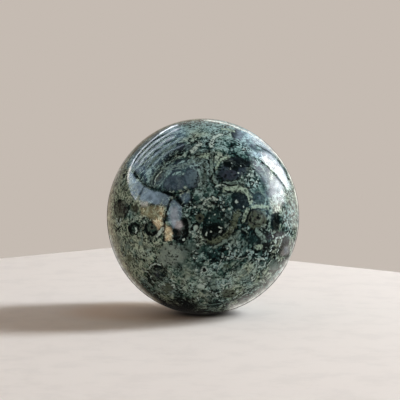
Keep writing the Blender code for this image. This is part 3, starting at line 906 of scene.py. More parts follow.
class StonePainter:
    """Paints the markings over one another, each kind in a group of its own."""

    def __init__(self, recipe, colours, fields):
        self.recipe = recipe
        self.colours = colours
        self.fields = fields
        self.kinds = {
            "zone": zone_group(), "cloud": cloud_group(), "eye": eye_group(), "stretch": stretch_group(),
            "dot": dot_group(),
        }
        self.calm = 0.0

    def tint(self, name, share=1.0):
        """One of the stone's colours, darker or brighter by a share."""
        return (*(value * share for value in getattr(self.colours, name)), 1.0)

    def stack(self, name, kind, state, shared, marks):
        """Lays marks of one kind after another. Each one takes the state that the last one left."""
        tree, recipe, given = new_group(name, (*state, *shared), state)
        passed = {socket: given[socket] for socket in state}
        for mark in marks:
            same = {socket: given[socket] for socket in shared}
            results = recipe.lay(self.kinds[kind], {**passed, **same, **mark})
            passed = {socket: results[socket] for socket in state}
        close_group(recipe, passed)
        results = self.recipe.lay(tree, {**state, **shared})
        return {socket: results[socket] for socket in state}

    def ovals(self, name, kind, under, marks):
        """Paints ovals over the colour under them, and notes how calm they make it."""
        state = {"Colour": under, "Calm": self.calm}
        shared = {"Place": self.fields["marks"], "Wobble": self.fields["wobble"]}
        results = self.stack(name, kind, state, shared, marks)
        self.calm = results["Calm"]
        return results["Colour"]

    def zones(self, tone, place, rng):
        changes = [(oval_on_ball(zone), (zone.tone, zone.warmth, zone.streaks, zone.lace)) for zone in ZONES]
        for oval in hidden_ovals(rng, HIDDEN_ZONES):
            change = (
                rng.uniform(*HIDDEN_TONES), rng.uniform(*HIDDEN_WARMTHS), rng.choice(HIDDEN_STREAKS),
                rng.uniform(*HIDDEN_LACE),
            )
            changes.append((oval, change))
        by = [f"{part} by" for part in GROUND]
        marks = [{**oval, **dict(zip(by, change))} for oval, change in changes]
        state = {"Tone": tone, "Warmth": 0.0, "Streaks": 0.0, "Lace": 0.0}
        return self.stack("stone zones", "zone", state, {"Place": place}, marks)

    def clouds(self, under, rng):
        marks = [
            {**oval_on_ball(cloud), "Tint": self.tint(cloud.colour), "Strength": cloud.strength}
            for cloud in CLOUDS
        ]
        for oval in hidden_ovals(rng, HIDDEN_CLOUDS):
            tint = self.tint(rng.choice(HIDDEN_TINTS))
            marks.append({**oval, "Tint": tint, "Strength": rng.uniform(*HIDDEN_COVERS)})
        return self.ovals("soft clouds", "cloud", under, marks)

    def eyes(self, under, eyes):
        marks = []
        for oval, look in eyes:
            marks.append({
                **oval, "Heart": self.tint(look.heart), "Body": self.tint(look.body),
                "Ring": self.tint(look.ring), "Rim": self.tint(look.rim),
                "Heart from": look.heart_to - look.soft, "Heart to": look.heart_to + look.soft,
                "Body from": look.body_to - look.soft, "Body to": look.body_to + look.soft,
                "Ring from": look.ring_to - look.soft / 2, "Ring to": look.ring_to + look.soft / 2,
                "Edge from": 1.0 - look.soft, "Strength": look.strength, "Calmness": look.calm,
            })
        return self.ovals("stone eyes", "eye", under, marks)

    def nearest(self, name, kind, marks):
        """How far each place is from the nearest of the marks."""
        shared = {"Place": self.fields["marks"]}
        return self.stack(name, kind, {"Nearest": FAR_OFF}, shared, marks)["Nearest"]

    def strands(self, under, trails, layer):
        """All the strands of one layer: a dark border, then the strand, with a broken edge."""
        recipe = self.recipe
        dark = layer in ("ink", "jet")
        tint = "ink" if dark else layer
        marks = []
        for trail in trails:
            for start, end in zip(trail.places, trail.places[1:]):
                span = end - start
                reach = span / span.length_squared
                marks.append({"Start": start, "Span": span, "Reach": reach, "Half width": trail.width / 2})
        nearest = self.nearest(f"{layer} strands", "stretch", marks)
        ragged = recipe.maths("ADD", nearest, self.fields["ragged"])
        if not dark:
            under = recipe.paint(under, self.tint("ink"), recipe.fade(ragged, 2.4, 1.5), 0.5)
        core = recipe.fade(ragged, 1.25, 0.75)
        if layer == "ink":
            core = recipe.multiply(core, recipe.fade(self.fields["cluster"], 0.36, 0.52))
        grain = recipe.fade(self.fields["grain"], 0.38, 0.56)
        if not dark:
            solid = recipe.maths("MULTIPLY_ADD", recipe.fade(self.fields["grain"], 0.38, 0.48), 0.5, 0.5)
            core = recipe.multiply(core, solid)
        fibre = recipe.mix(grain, self.tint(tint, 0.65), self.tint(tint, 1.15))
        return recipe.mix(core, under, fibre)

    def dots(self, under, dots, tint):
        marks = [{"Middle": middle, "Radius": radius} for middle, radius in dots]
        nearest = self.nearest(f"{tint} dots", "dot", marks)
        return self.recipe.mix(self.recipe.fade(nearest, 1.3, 0.7), under, self.tint(tint))


def warped(recipe, place, where, scale, amount):
    """The place, pushed by up to about half the amount, by a noise of that scale read where it says."""
    push = recipe.noise(where, scale, output="Color")
    parts = recipe.node("ShaderNodeSeparateColor", {"Color": push}).outputs
    push = recipe.node("ShaderNodeCombineXYZ", {"X": parts["Red"], "Y": parts["Green"], "Z": parts["Blue"]})
    push = recipe.vector("SUBTRACT", push.outputs["Vector"], (0.5, 0.5, 0.5))
    return recipe.vector("MULTIPLY_ADD", push, (amount, amount, amount), place)


# Which colour of the ground shows at which tone, and the ends of a streak of the upper left in the photograph
TONES = {"ink": 0.28, "teal": 0.38, "forest": 0.48, "moss": 0.59, "sage": 0.73, "bone": 1.00}
USUAL_TONE = 0.49
STREAK_FROM = (134, 172)
STREAK_TO = (176, 134)
STREAK_STRETCH = (5.0, 1.0, 1.0)


def stone_ground(painter, place, rng):
    """The mottled ground: a range of greens from ink to pale sage, streaked and warmer in places."""
    recipe, fields = painter.recipe, painter.fields
    state = painter.zones(USUAL_TONE, place, rng)
    fields["lace"] = state["Lace"]
    streak_way = in_stone(CAMERA.on_ball(*STREAK_TO)) - in_stone(CAMERA.on_ball(*STREAK_FROM))
    turn = streak_way.to_track_quat("X", "Z").to_euler()
    given = {"Vector": fields["ground"], "Rotation": turn, "Scale": STREAK_STRETCH}
    along = recipe.node("ShaderNodeMapping", given, vector_type="TEXTURE").outputs["Vector"]
    streaks = recipe.noise(along, 0.75, detail=3.0, roughness=0.6)
    fine = recipe.noise(fields["ground"], 0.34, roughness=0.60, distortion=0.5)
    tone = recipe.sway(state["Tone"], fine, 1.55)
    tone = recipe.sway(tone, fields["grit"], 0.85)
    tone = recipe.sway(tone, fields["coarse"], 0.75)
    streaks = recipe.multiply(recipe.maths("SUBTRACT", streaks, 0.5), state["Streaks"])
    tone = recipe.maths("MULTIPLY_ADD", streaks, 3.2, tone)
    ramp = recipe.node("ShaderNodeValToRGB", {"Fac": tone})
    elements = ramp.color_ramp.elements
    while len(elements) < len(TONES):
        elements.new(0.5)
    for element, (name, position) in zip(elements, TONES.items()):
        element.position = position
        element.color = painter.tint(name)
    warmth = recipe.fade(recipe.sway(state["Warmth"], fields["patches"], 3.0), -0.55, 0.75)
    cast = recipe.mix(warmth, painter.tint("cool"), painter.tint("warm"))
    fields["pale"] = recipe.tinted(painter.tint("bone"), cast)
    return recipe.tinted(ramp.outputs["Color"], cast)


# Thin threads of two sizes: the scale of the noise that they follow, their half width in it, and the field
# that says where they are
THREADS = ((0.24, 0.046, "patches"), (0.42, 0.068, "lively"))


def stone_threads(painter, under):
    """Thin pale threads, nets and round flecks, and dark pits, which thin out in the calm eyes."""
    recipe, fields = painter.recipe, painter.fields
    open_to = recipe.maths("SUBTRACT", 1.0, painter.calm)
    broken = recipe.multiply(recipe.fade(fields["breaks"], 0.43, 0.50), open_to)
    result = under
    for scale, thick, source in THREADS:
        curl = recipe.noise(fields["marks"], scale, detail=1.0, distortion=0.4)
        line = recipe.maths("ABSOLUTE", recipe.maths("SUBTRACT", curl, 0.5))
        where = recipe.maths("ADD", fields[source], fields["lace"])
        where = recipe.multiply(broken, recipe.fade(where, 0.50, 0.57))
        border = recipe.multiply(recipe.fade(line, thick * 2.4, thick * 1.4), where)
        result = recipe.paint(result, painter.tint("ink"), border, 0.75)
        core = recipe.multiply(recipe.fade(line, thick * 1.1, thick * 0.6), where)
        result = recipe.paint(result, fields["pale"], core, 0.85)
    given = {"Vector": fields["marks"], "Scale": 0.62}
    net = recipe.node("ShaderNodeTexVoronoi", given, feature="DISTANCE_TO_EDGE")
    net = recipe.fade(net.outputs["Distance"], 0.16, 0.06)
    where = recipe.fade(fields["patches"], 0.53, 0.62)
    net = recipe.multiply(recipe.multiply(net, broken), where)
    result = recipe.paint(result, fields["pale"], net, 0.65)
    given = {"Vector": fields["marks"], "Scale": 0.85, "Randomness": 1.0}
    cells = recipe.node("ShaderNodeTexVoronoi", given).outputs
    chance = recipe.node("ShaderNodeSeparateColor", {"Color": cells["Color"]}).outputs
    pick = recipe.fade(chance["Red"], 0.76, 0.80)
    flecks = recipe.multiply(recipe.fade(cells["Distance"], 0.34, 0.22), pick)
    flecks = recipe.multiply(flecks, open_to)
    result = recipe.paint(result, fields["pale"], flecks, 0.75)
    pits = recipe.fade(chance["Green"], 0.78, 0.82)
    pits = recipe.multiply(recipe.fade(cells["Distance"], 0.60, 0.35), pits)
    return recipe.paint(result, painter.tint("ink"), pits, 0.8)


def stone_mottle(painter, under):
    """The crisp grain, in clusters of dark and of pale, lively in some places and faint in others."""
    recipe, fields = painter.recipe, painter.fields
    grain, cluster = fields["grain"], fields["cluster"]
    lively = recipe.maths("MULTIPLY_ADD", recipe.fade(fields["lively"], 0.43, 0.57), 0.75, 0.25)
    dark = recipe.multiply(recipe.fade(grain, 0.475, 0.41), recipe.fade(cluster, 0.66, 0.42))
    dark = recipe.multiply(dark, lively)
    result = recipe.paint(under, painter.tint("ink"), dark, 0.9)
    muted = recipe.maths("MULTIPLY_ADD", painter.calm, -0.97, 1.0)
    pale = recipe.multiply(recipe.fade(grain, 0.56, 0.62), recipe.fade(cluster, 0.44, 0.60))
    pale = recipe.multiply(recipe.multiply(pale, lively), muted)
    return recipe.paint(result, fields["pale"], pale, 0.6)


def new_material(name):
    """A material with no nodes yet, and the recipe for them."""
    material = bpy.data.materials.new(name)
    material.use_nodes = True
    material.node_tree.nodes.clear()
    return material, Recipe(material.node_tree)


def jasper_material(settings, colours):
    """Polished orbicular jasper, from the object's own coordinates."""
    material, recipe = new_material("polished_green_jasper")
    own = recipe.node("ShaderNodeTexCoord").outputs["Object"]
    scale = 1 / MILLIMETRE
    given = {"Vector": own, "Location": -BALL_CENTRE * scale, "Scale": (scale, scale, scale)}
    place = recipe.node("ShaderNodeMapping", given).outputs["Vector"]
    grit = recipe.noise(place, 1.05, detail=1.0, roughness=0.6)
    wobble = recipe.noise(place, 0.42, detail=3.0, roughness=0.6)
    ground = warped(recipe, place, place, 0.22, 5.0)
    fields = {
        "ground": ground,
        "marks": warped(recipe, place, ground, 0.85, 1.1),
        "coarse": recipe.noise(place, 0.15),
        "patches": recipe.noise(place, 0.12),
        "grit": grit,
        "grain": recipe.noise(place, 1.00, detail=1.0, roughness=0.6, distortion=0.5),
        "breaks": recipe.noise(place, 0.60, detail=1.0),
        "cluster": recipe.noise(place, 0.36),
        "lively": recipe.noise(place, 0.21, detail=1.0),
        "wobble": recipe.maths("MULTIPLY_ADD", wobble, 0.9, -0.45),
        "ragged": recipe.maths("MULTIPLY_ADD", grit, 1.8, -0.9),
    }
    painter = StonePainter(recipe, colours, fields)
    rng = random.Random(HIDDEN_SEED)
    result = stone_ground(painter, place, rng)
    result = painter.clouds(result, rng)
    hidden_eyes = hidden_ovals(rng, HIDDEN_EYES)
    eyes = [(oval, LOOKS[rng.choice(HIDDEN_LOOKS)]) for oval in hidden_eyes]
    eyes += [(oval_on_ball(eye), LOOKS[eye.look]) for eye in EYES]
    result = painter.eyes(result, eyes)
    result = stone_threads(painter, result)
    hidden = hidden_trails(rng)
    rings = hidden_rings(rng, hidden_eyes)
    for layer, strands in STRANDS.items():
        trails = [
            Trail(width, [in_stone(CAMERA.on_ball(x, y)) for x, y in points])
            for width, *points in strands.values()
        ]
        result = painter.strands(result, trails + hidden.get(layer, []) + rings.get(layer, []), layer)
    for tint, spots in SPOTS.items():
        dots = [(in_stone(CAMERA.on_ball(x, y)), across / 2) for x, y, across in spots]
        places = hidden_places(rng, HIDDEN_SPOTS.count, HIDDEN_SPOTS.apart)
        dots += [(in_stone(place), rng.uniform(*HIDDEN_SPOTS.sizes)) for place in places]
        result = painter.dots(result, dots, tint)
    result = stone_mottle(painter, result)

    worn = recipe.node("ShaderNodeMapRange", {
        "Value": fields["patches"], "From Min": 0.3, "From Max": 0.7, "To Min": settings.roughness * 0.7,
        "To Max": settings.roughness * 1.3,
    })
    swell = recipe.noise(place, 0.45, detail=1.0)
    bump = recipe.node("ShaderNodeBump", {"Height": swell, "Strength": 1.0, "Distance": settings.ripple})
    shader = recipe.node("ShaderNodeBsdfPrincipled", {
        "Base Color": result, "Roughness": worn.outputs["Result"], "IOR": settings.refraction,
        "Normal": bump.outputs["Normal"],
    })
    recipe.node("ShaderNodeOutputMaterial", {"Surface": shader.outputs["BSDF"]})
    return material


def mesh_from(shape, name):
    """A mesh of what was modelled, which is then let go."""
    mesh = bpy.data.meshes.new(name)
    shape.to_mesh(mesh)
    shape.free()
    return mesh


def ball_mesh(settings):
    """The ball turned from its profile, with an eased seat and the faint waves of a hand polish."""
    shape = bmesh.new()
    seat_angle = math.asin(settings.seat_width / 2 / HALF_WIDTH)
    profile = []
    for ring in range(settings.rings + 1):
        angle = seat_angle + (math.pi - seat_angle) * ring / settings.rings
        across = HALF_WIDTH * math.sin(angle) if ring < settings.rings else 0.0
        up = HALF_HEIGHT * (math.cos(seat_angle) - math.cos(angle))
        profile.append(shape.verts.new((across, 0.0, up)))
    edges = [shape.edges.new(pair) for pair in zip(profile, profile[1:])]
    bmesh.ops.spin(
        shape, geom=profile + edges, cent=(0, 0, 0), axis=(0, 0, 1), dvec=(0, 0, 0), angle=2 * math.pi,
        steps=settings.sides, use_merge=True, use_duplicate=False,
    )
    bmesh.ops.remove_doubles(shape, verts=shape.verts, dist=MILLIMETRE / 1000)
    rim = [edge for edge in shape.edges if edge.is_boundary]
    bmesh.ops.contextual_create(shape, geom=rim)
    bmesh.ops.bevel(
        shape, geom=rim, offset=settings.seat_ease, offset_type="OFFSET", segments=3, profile=0.5,
        affect="EDGES", material=-1,
    )
    bmesh.ops.recalc_face_normals(shape, faces=shape.faces)
    for vert in shape.verts:
        if vert.co.z > settings.seat_ease * 2:
            wave = noise.noise(vert.co / settings.wave_length) / 2 + 0.5
            vert.co -= normal_at(vert.co) * settings.waviness * wave
    mesh = mesh_from(shape, "polished_ball")
    mesh.shade_smooth()
    return mesh


def link(thing):
    """Puts an object into the scene."""
    bpy.context.scene.collection.objects.link(thing)
    return thing


class JASPER_OT_add_ball(bpy.types.Operator):
    """Add the polished ball in place of the plain solid"""

    bl_idname = "jasper.add_ball"
    bl_label = "Add ball"
    bl_options = {"REGISTER", "UNDO"}

    def execute(self, context):
        settings = context.scene.jasper_ball
        ball = link(bpy.data.objects.new("polished_ball", ball_mesh(settings)))
        ball.data.materials.append(jasper_material(settings, context.scene.jasper_colours))
        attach(ball, "root")
        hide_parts("jasper_ball")
        return {"FINISHED"}


# What the polish mirrors. Each card is a curved sheet that hangs far out, where the reflections that show in
# a field of the photograph come from. Washes are areas, and strokes are lines, in the photograph's pixels.
# Soft is half the width of their soft edge. A later mark covers what is under it.
Card = namedtuple("Card", "name left top right bottom marks")
Wash = namedtuple("Wash", "colour strength soft points")
Stroke = namedtuple("Stroke", "colour strength soft width points")

WHITE = (0.95, 0.97, 1.00)
CREAM = (1.00, 0.96, 0.88)
SKY = (0.64, 0.82, 1.00)
AQUA = (0.68, 0.86, 1.00)
PEARL = (0.84, 0.90, 1.00)
FAINT = (0.50, 0.78, 1.00)
ROSE = (1.00, 0.90, 0.88)
BEIGE = (1.00, 0.84, 0.62)
AMBER = (1.00, 0.60, 0.28)
STRAW = (1.00, 0.80, 0.42)
PEACH = (1.00, 0.72, 0.42)
NAVY = (0.20, 0.35, 0.80)
SHADE = (0.05, 0.07, 0.10)

CARDS = [
    Card("left glow", 118, 119, 206, 246, [
        Wash(FAINT, 1.4, 7, [(128, 166), (134, 157), (145, 146), (160, 135), (175, 127), (185, 127),
            (188, 132), (188, 138), (182, 144), (168, 156), (158, 168), (150, 182), (144, 182),
            (138, 174)]),
        Wash(FAINT, 0.9, 5, [(166, 166), (182, 158), (198, 162), (200, 176), (192, 189), (176, 192),
            (162, 189), (150, 185)]),
        Wash(SKY, 1.9, 3.5, [(129, 168), (134, 158), (145, 146), (160, 134.6), (174, 127), (180, 127),
            (178, 132), (170, 140), (160, 148), (150, 158), (143, 170), (138, 174)]),
        Stroke(NAVY, 0.1, 0.5, 1.4, [(132.4, 165), (135.6, 158.6), (140.6, 152.6), (147.6, 145.6),
            (156, 138.6), (164, 133.2)]),
        Stroke(PEARL, 6, 0.5, 0.8, [(129.6, 172), (131.2, 166), (134, 160), (137.6, 154.6), (143, 148.4),
            (150, 141.8), (158, 135.4), (165, 130.6), (172, 127), (178, 125)]),
        Stroke(PEARL, 6.5, 0.6, 1.3, [(129.4, 173), (131, 166.6), (133.8, 160.4)]),
        Stroke(PEARL, 7, 0.6, 1.1, [(160, 133.6), (166, 130), (172, 126.8), (177, 125.2)]),
        Stroke(BEIGE, 0.4, 0.8, 2, [(122, 168), (129, 157), (138, 146.4), (148, 137.4), (160, 129.4),
            (172, 123.8), (186, 120.4), (200, 119)]),
        Stroke(NAVY, 0.1, 0.5, 1.6, [(134, 162.6), (138.6, 155.4), (145, 149), (153, 141.6), (160, 136.8),
            (168, 133.4)]),
        Stroke(PEARL, 4.4, 0.5, 0.9, [(136, 162.4), (141, 155.6), (148, 148.8), (156, 141.6), (164, 136.4),
            (172, 131.6), (179, 128.4)]),
        Stroke(NAVY, 0.1, 0.6, 1.4, [(138.6, 162), (144, 155), (151, 148.4), (160, 141.4), (170, 135)]),
        Stroke(PEARL, 4, 0.5, 0.9, [(140, 163.6), (146, 156), (153.6, 149.6), (163, 142.6), (174, 136.4)]),
        Stroke(NAVY, 0.8, 0.8, 1, [(142.4, 171.5), (147, 163.6), (152.6, 158)]),
        Stroke(NAVY, 0.1, 0.6, 1.5, [(141, 166), (147.4, 159), (155, 152), (165, 144.6), (177, 138)]),
        Stroke(AQUA, 4, 0.6, 1.1, [(148, 161.6), (156, 153.6), (166, 146.6), (178, 140.6)]),
        Stroke(NAVY, 0.1, 0.7, 1.6, [(148, 168), (155, 158.6), (166, 150), (178, 144), (188, 139)]),
        Stroke(AQUA, 3.6, 0.6, 1.2, [(153, 166), (161, 157.6), (171, 150.6), (184, 144.6)]),
        Stroke(NAVY, 0.1, 0.7, 1.6, [(158, 168), (166, 159), (177, 152.6), (190, 148)]),
        Wash(SKY, 3.6, 1.2, [(128, 172), (131, 171), (134, 176), (140, 182), (145, 186.5), (141, 193),
            (138, 199.6), (133, 198), (129.6, 190), (127.4, 181)]),
        Wash(SKY, 3.9, 1.2, [(144, 187), (151, 189.4), (160, 192.4), (170, 196.4), (169, 205), (158, 204.4),
            (146, 203), (138.6, 200)]),
        Wash(SKY, 2.5, 2.2, [(160, 193), (171, 197), (168, 207), (159, 205)]),
        Stroke(CREAM, 5.5, 1.2, 1.6, [(128.4, 183), (127.9, 177), (129, 171), (130.6, 167)]),
        Stroke(PEARL, 5, 1, 1.4, [(131.4, 193), (133.4, 197), (136.6, 199.6)]),
        Wash(CREAM, 5.2, 1.6, [(139, 201), (148, 201.6), (148.6, 206.6), (142, 208)]),
        Stroke(NAVY, 0.6, 0.6, 0.9, [(130, 188), (131.6, 185.4), (134, 183.6)]),
        Wash(SKY, 2.7, 1.8, [(173, 199), (182, 206.5), (182, 217), (178.6, 226), (173, 229), (168, 223),
            (167, 212), (170, 203)]),
        Wash(PEARL, 4.4, 1.8, [(171, 207), (177, 207), (178.6, 216), (178, 225), (173, 227), (170, 217)]),
        Wash(ROSE, 5, 1.6, [(176.6, 221), (182, 221), (183.6, 226), (180, 229.6), (175, 229)]),
        Wash(FAINT, 1.7, 2, [(178, 195), (190, 191), (190, 202), (184, 204)]),
        Stroke(SHADE, 0.35, 0.8, 1.7, [(135.4, 173), (138.6, 178), (143.4, 184.4), (150, 187), (158, 190),
            (168, 193.4)]),
        Stroke(SHADE, 0.2, 1, 3.6, [(134.6, 173), (137.6, 176.4)]),
        Stroke(SHADE, 0.05, 0.7, 3.2, [(165, 192.4), (171, 194), (176.4, 198), (183.6, 206)]),
        Stroke(SHADE, 0.05, 0.6, 1.7, [(173, 194.2), (180, 192.8), (185, 191.2), (191.6, 189)]),
        Stroke(SHADE, 0.05, 0.6, 1.9, [(172.4, 197), (169.4, 204), (166.6, 212), (165, 221)]),
        Stroke(SHADE, 0.1, 0.6, 1.5, [(165, 220), (164.2, 230), (164, 241)]),
        Stroke(NAVY, 0.6, 0.5, 1.1, [(144.2, 186.4), (140.8, 192), (137.4, 199)]),
        Wash(STRAW, 2.1, 3, [(139, 207), (150, 205), (163, 206.4), (164, 216), (160, 222), (150, 219),
            (141, 216)]),
        Wash(AMBER, 3, 2, [(159, 206.6), (164.6, 207), (164, 217), (160, 217)]),
        Wash(PEACH, 6, 1.6, [(152, 219.6), (161.6, 218), (162.6, 225.6), (158.4, 230), (154.6, 226)]),
        Wash(PEACH, 6.6, 1.4, [(165.4, 224), (170.4, 226.6), (172.6, 233), (171.6, 241), (165, 240.6)]),
    ]),
    Card("left limb", 102, 170, 176, 318, [
        Wash(BEIGE, 0.58, 5, [(98, 176), (111, 172), (115, 186), (114, 205), (115, 225), (121, 248),
            (131, 270), (146, 290), (160, 302), (150, 330), (98, 330)]),
        Wash(CREAM, 0.8, 2.5, [(98, 236), (110, 236), (113.6, 247), (121.6, 265), (131, 279), (143, 291),
            (152, 299), (140, 330), (98, 330)]),
    ]),
    Card("low glow", 214, 257, 300, 316, [
        Wash(CREAM, 0.95, 6, [(294, 256), (283, 258), (276, 262), (267, 266), (261, 280), (250, 291),
            (238, 298), (227, 303), (227, 324), (310, 324), (310, 240)]),
        Wash(CREAM, 1.6, 3, [(295, 255), (289, 258), (282, 270), (271, 284), (258, 296), (245, 303),
            (234, 308), (234, 322), (310, 322), (310, 240)]),
    ]),
    Card("right glow", 204, 120, 304, 256, [
        Wash(FAINT, 0.3, 4, [(234, 193), (250, 193), (250, 210), (234, 210)]),
        Wash(FAINT, 0.75, 4, [(250, 190), (268, 190), (276, 206), (272, 222), (258, 214), (250, 208)]),
        Wash(SKY, 2.2, 4, [(244, 146), (256, 150), (270, 162), (274, 178), (262, 170), (250, 160)]),
        Wash(SKY, 1.8, 5, [(236, 128), (250, 130), (264, 140), (277, 154), (286, 168), (281, 169),
            (270, 157), (262, 151), (252, 148), (243, 146), (234, 139)]),
        Wash(PEARL, 2.4, 3.5, [(250, 134), (262, 141), (276, 153), (284, 165), (276, 158), (264, 149),
            (254, 144)]),
        Wash(PEARL, 3.6, 4, [(252, 154), (262, 160), (275, 173), (284, 185), (287, 196), (282, 206),
            (275, 210), (271, 200), (267, 189), (260, 176), (252, 166)]),
        Wash(WHITE, 8.6, 4.5, [(269, 172), (277, 178), (284, 188), (288, 196), (284, 203), (278, 206),
            (273, 204), (271, 196), (269.6, 186)]),
        Wash(CREAM, 6, 2.6, [(271, 202), (282, 203), (281, 211), (274, 212.4)]),
        Wash(PEARL, 4.4, 2.2, [(258, 151), (266, 152), (272, 155.6), (280, 163), (287, 174), (291, 187),
            (288, 186), (280, 171), (270, 159), (258, 153)]),
        Wash(WHITE, 9.5, 2.4, [(259, 152.4), (266, 155.6), (273, 161), (280, 169.6), (286, 180),
            (290.6, 192), (288, 193), (282, 184.5), (275, 175), (266, 165.5), (259, 158)]),
        Wash(SKY, 5, 2.4, [(252, 152), (259, 151.6), (264, 156), (259, 158.4), (253, 156)]),
        Stroke(SHADE, 0.2, 0.5, 1.9, [(254, 157.4), (261, 161.2), (267.6, 166.8), (273.6, 172.8),
            (279.6, 179.8), (285, 187.4), (290, 197)]),
        Stroke(SHADE, 0.2, 0.7, 1.3, [(256, 145), (263, 148.6), (269, 152), (275, 156.4), (279, 161)]),
        Stroke(SHADE, 0.2, 0.8, 2.6, [(278, 159.6), (283, 166.6), (287, 174), (288.6, 180)]),
        Stroke(SHADE, 0.2, 0.6, 1.5, [(273, 151), (280, 159), (286.4, 168), (290, 176)]),
        Wash(CREAM, 1, 3, [(284, 190), (292, 186), (297, 205), (298, 226), (293, 230), (284, 226),
            (281, 214), (286, 205)]),
        Stroke(CREAM, 2.2, 0.7, 1.5, [(192, 120.4), (206, 120), (218, 121.8), (228, 124.2), (238, 127.6)]),
        Stroke(CREAM, 2.4, 0.6, 1.3, [(234, 126.6), (248, 132), (262, 140.8), (277, 155.2), (287, 169),
            (294.2, 186), (297.6, 204)]),
        Stroke(CREAM, 1.4, 0.7, 1.3, [(297.6, 204), (298.6, 222), (296.4, 238), (293, 249)]),
        Wash(ROSE, 0.8, 2, [(285, 246), (291, 244), (289, 254), (281, 258), (280, 252)]),
        Wash(PEARL, 1.3, 1.6, [(283, 247), (287.4, 246), (288.6, 251), (285, 254)]),
    ]),
]
KEY_WAY = Vector((0.86, 0.20, 0.50))
FILL_WAY = Vector((-0.45, -0.60, 0.70))
LIGHT_DISTANCE = 1.3
CARD_GAP = 0.02
CELLS_PER_PIXEL = 2
LIMB = 0.994  # cards are worked out no nearer to the outline than this share of its radius
MOTTLE = 0.5  # how uneven their glow is
MOTTLE_PIXELS = 4

# The floor, with its distances in half widths of the ball
FLOOR_CORNER = -0.037  # how far right of the ball's middle the floor's back corner is
SHADED_SPOT = (-0.028, 0.004, 0.0)  # the middle of the shadow beside the ball
SHADOW = (0.95, 0.35)  # where that shadow begins, and where it is full
CONTACT = (0.43, 0.14)  # the same for the shade under the ball
MIRRORED = (2.0, 3.6, 3.2, 7.0)  # where the polish begins to mirror the floor, does, fades and stops
SHADOW_TINT = (0.90, 0.76, 0.62)
CONTACT_TINT = (0.040, 0.028, 0.018)
WORN = 0.95  # how bright the floor's grain is, beside the rest of it
FADED = 0.75  # how much of the floor the polish mirrors at most

# Where the polish mirrors the backdrop: how far back a direction points, and how far up
BACKWARDS = (0.62, 1.0)
UPWARDS = (-0.10, 0.06)


def seen_outline():
    """Half width and half height of the ball's outline in the photograph, in pixels."""
    reach = math.sqrt((CAMERA.place - BALL_CENTRE).length_squared - HALF_WIDTH**2)
    across = HALF_WIDTH / reach * FOCAL_PIXELS
    return across, across * HALF_HEIGHT / HALF_WIDTH


def gap_to_line(places, points):
    """How far each place is from a broken line."""
    nearest = np.full(len(places), np.inf)
    for start, end in zip(points, points[1:]):
        start = np.array(start, dtype=float)
        span = np.array(end, dtype=float) - start
        along = np.clip((places - start) @ span / (span @ span), 0, 1)
        nearest = np.minimum(nearest, np.linalg.norm(places - start - along[:, None] * span, axis=1))
    return nearest


def depth_in_area(places, points):
    """How far each place is inside a closed outline, below zero where it is outside."""
    inside = np.zeros(len(places), dtype=bool)
    closed = [*points, points[0]]
    for (x0, y0), (x1, y1) in zip(closed, closed[1:]):
        if y0 == y1:
            continue
        crosses = (places[:, 1] < y0) != (places[:, 1] < y1)
        inside ^= crosses & (places[:, 0] < x0 + (places[:, 1] - y0) * (x1 - x0) / (y1 - y0))
    return gap_to_line(places, closed) * np.where(inside, 1, -1)


def card_glow(card, places):
    """The colour and the cover of a card at each of the places, from its washes and strokes in turn."""
    glow = np.zeros((len(places), 4))
    mottle = [noise.noise((x / MOTTLE_PIXELS, y / MOTTLE_PIXELS, 0.0)) * MOTTLE for x, y in places]
    unevenness = 1.0 + np.array(mottle)[:, None]
    for mark in card.marks:
        if isinstance(mark, Wash):
            depth = depth_in_area(places, mark.points)
        else:
            depth = mark.width / 2 - gap_to_line(places, mark.points)
        share = np.clip(depth / mark.soft / 2 + 0.5, 0, 1)
        share = (share * share * (3 - 2 * share))[:, None]  # the same soft step as in the stone's recipe
        shine = np.array(mark.colour) * mark.strength * unevenness
        glow[:, :3] = glow[:, :3] * (1 - share) + shine * share
        glow[:, 3:] = np.maximum(glow[:, 3:], share)
    return glow


def add_card(card, distance):
    """A curved sheet of light and shade, which only reflections see."""
    shape = bmesh.new()
    wide, high = card.right - card.left, card.bottom - card.top
    bmesh.ops.create_grid(
        shape, x_segments=wide * CELLS_PER_PIXEL, y_segments=high * CELLS_PER_PIXEL, size=0.5
    )
    bmesh.ops.scale(shape, vec=(wide, high, 1.0), verts=shape.verts)
    half_width, half_height = seen_outline()
    places = []
    for vert in shape.verts:
        x = (card.left + card.right) / 2 + vert.co.x
        y = (card.top + card.bottom) / 2 - vert.co.y
        across, down = x - BALL_SEEN_AT[0], y - BALL_SEEN_AT[1]
        pull = max(math.hypot(across / half_width, down / half_height) / LIMB, 1.0)
        x, y = BALL_SEEN_AT[0] + across / pull, BALL_SEEN_AT[1] + down / pull
        places.append((x, y))
        vert.co = CAMERA.mirrored(x, y, distance)
    mesh = mesh_from(shape, card.name.replace(" ", "_"))
    glow = mesh.color_attributes.new(name="glow", type="FLOAT_COLOR", domain="POINT")
    glow.data.foreach_set("color", card_glow(card, np.array(places)).ravel())
    mesh.materials.append(card_material())
    sheet = link(bpy.data.objects.new(mesh.name, mesh))
    sheet.visible_camera = False
    sheet.visible_diffuse = False
    sheet.visible_shadow = False


def card_material():
    """Glows where the card is painted, and is clear elsewhere."""
    material, recipe = new_material("card_glow")
    painted = recipe.node("ShaderNodeAttribute", attribute_name="glow").outputs
    glow = recipe.node("ShaderNodeEmission", {"Color": painted["Color"], "Strength": 1.0})
    clear = recipe.node("ShaderNodeBsdfTransparent")
    given = {0: painted["Alpha"], 1: clear.outputs["BSDF"], 2: glow.outputs["Emission"]}
    both = recipe.node("ShaderNodeMixShader", given)
    recipe.node("ShaderNodeOutputMaterial", {"Surface": both.outputs["Shader"]})
    return material


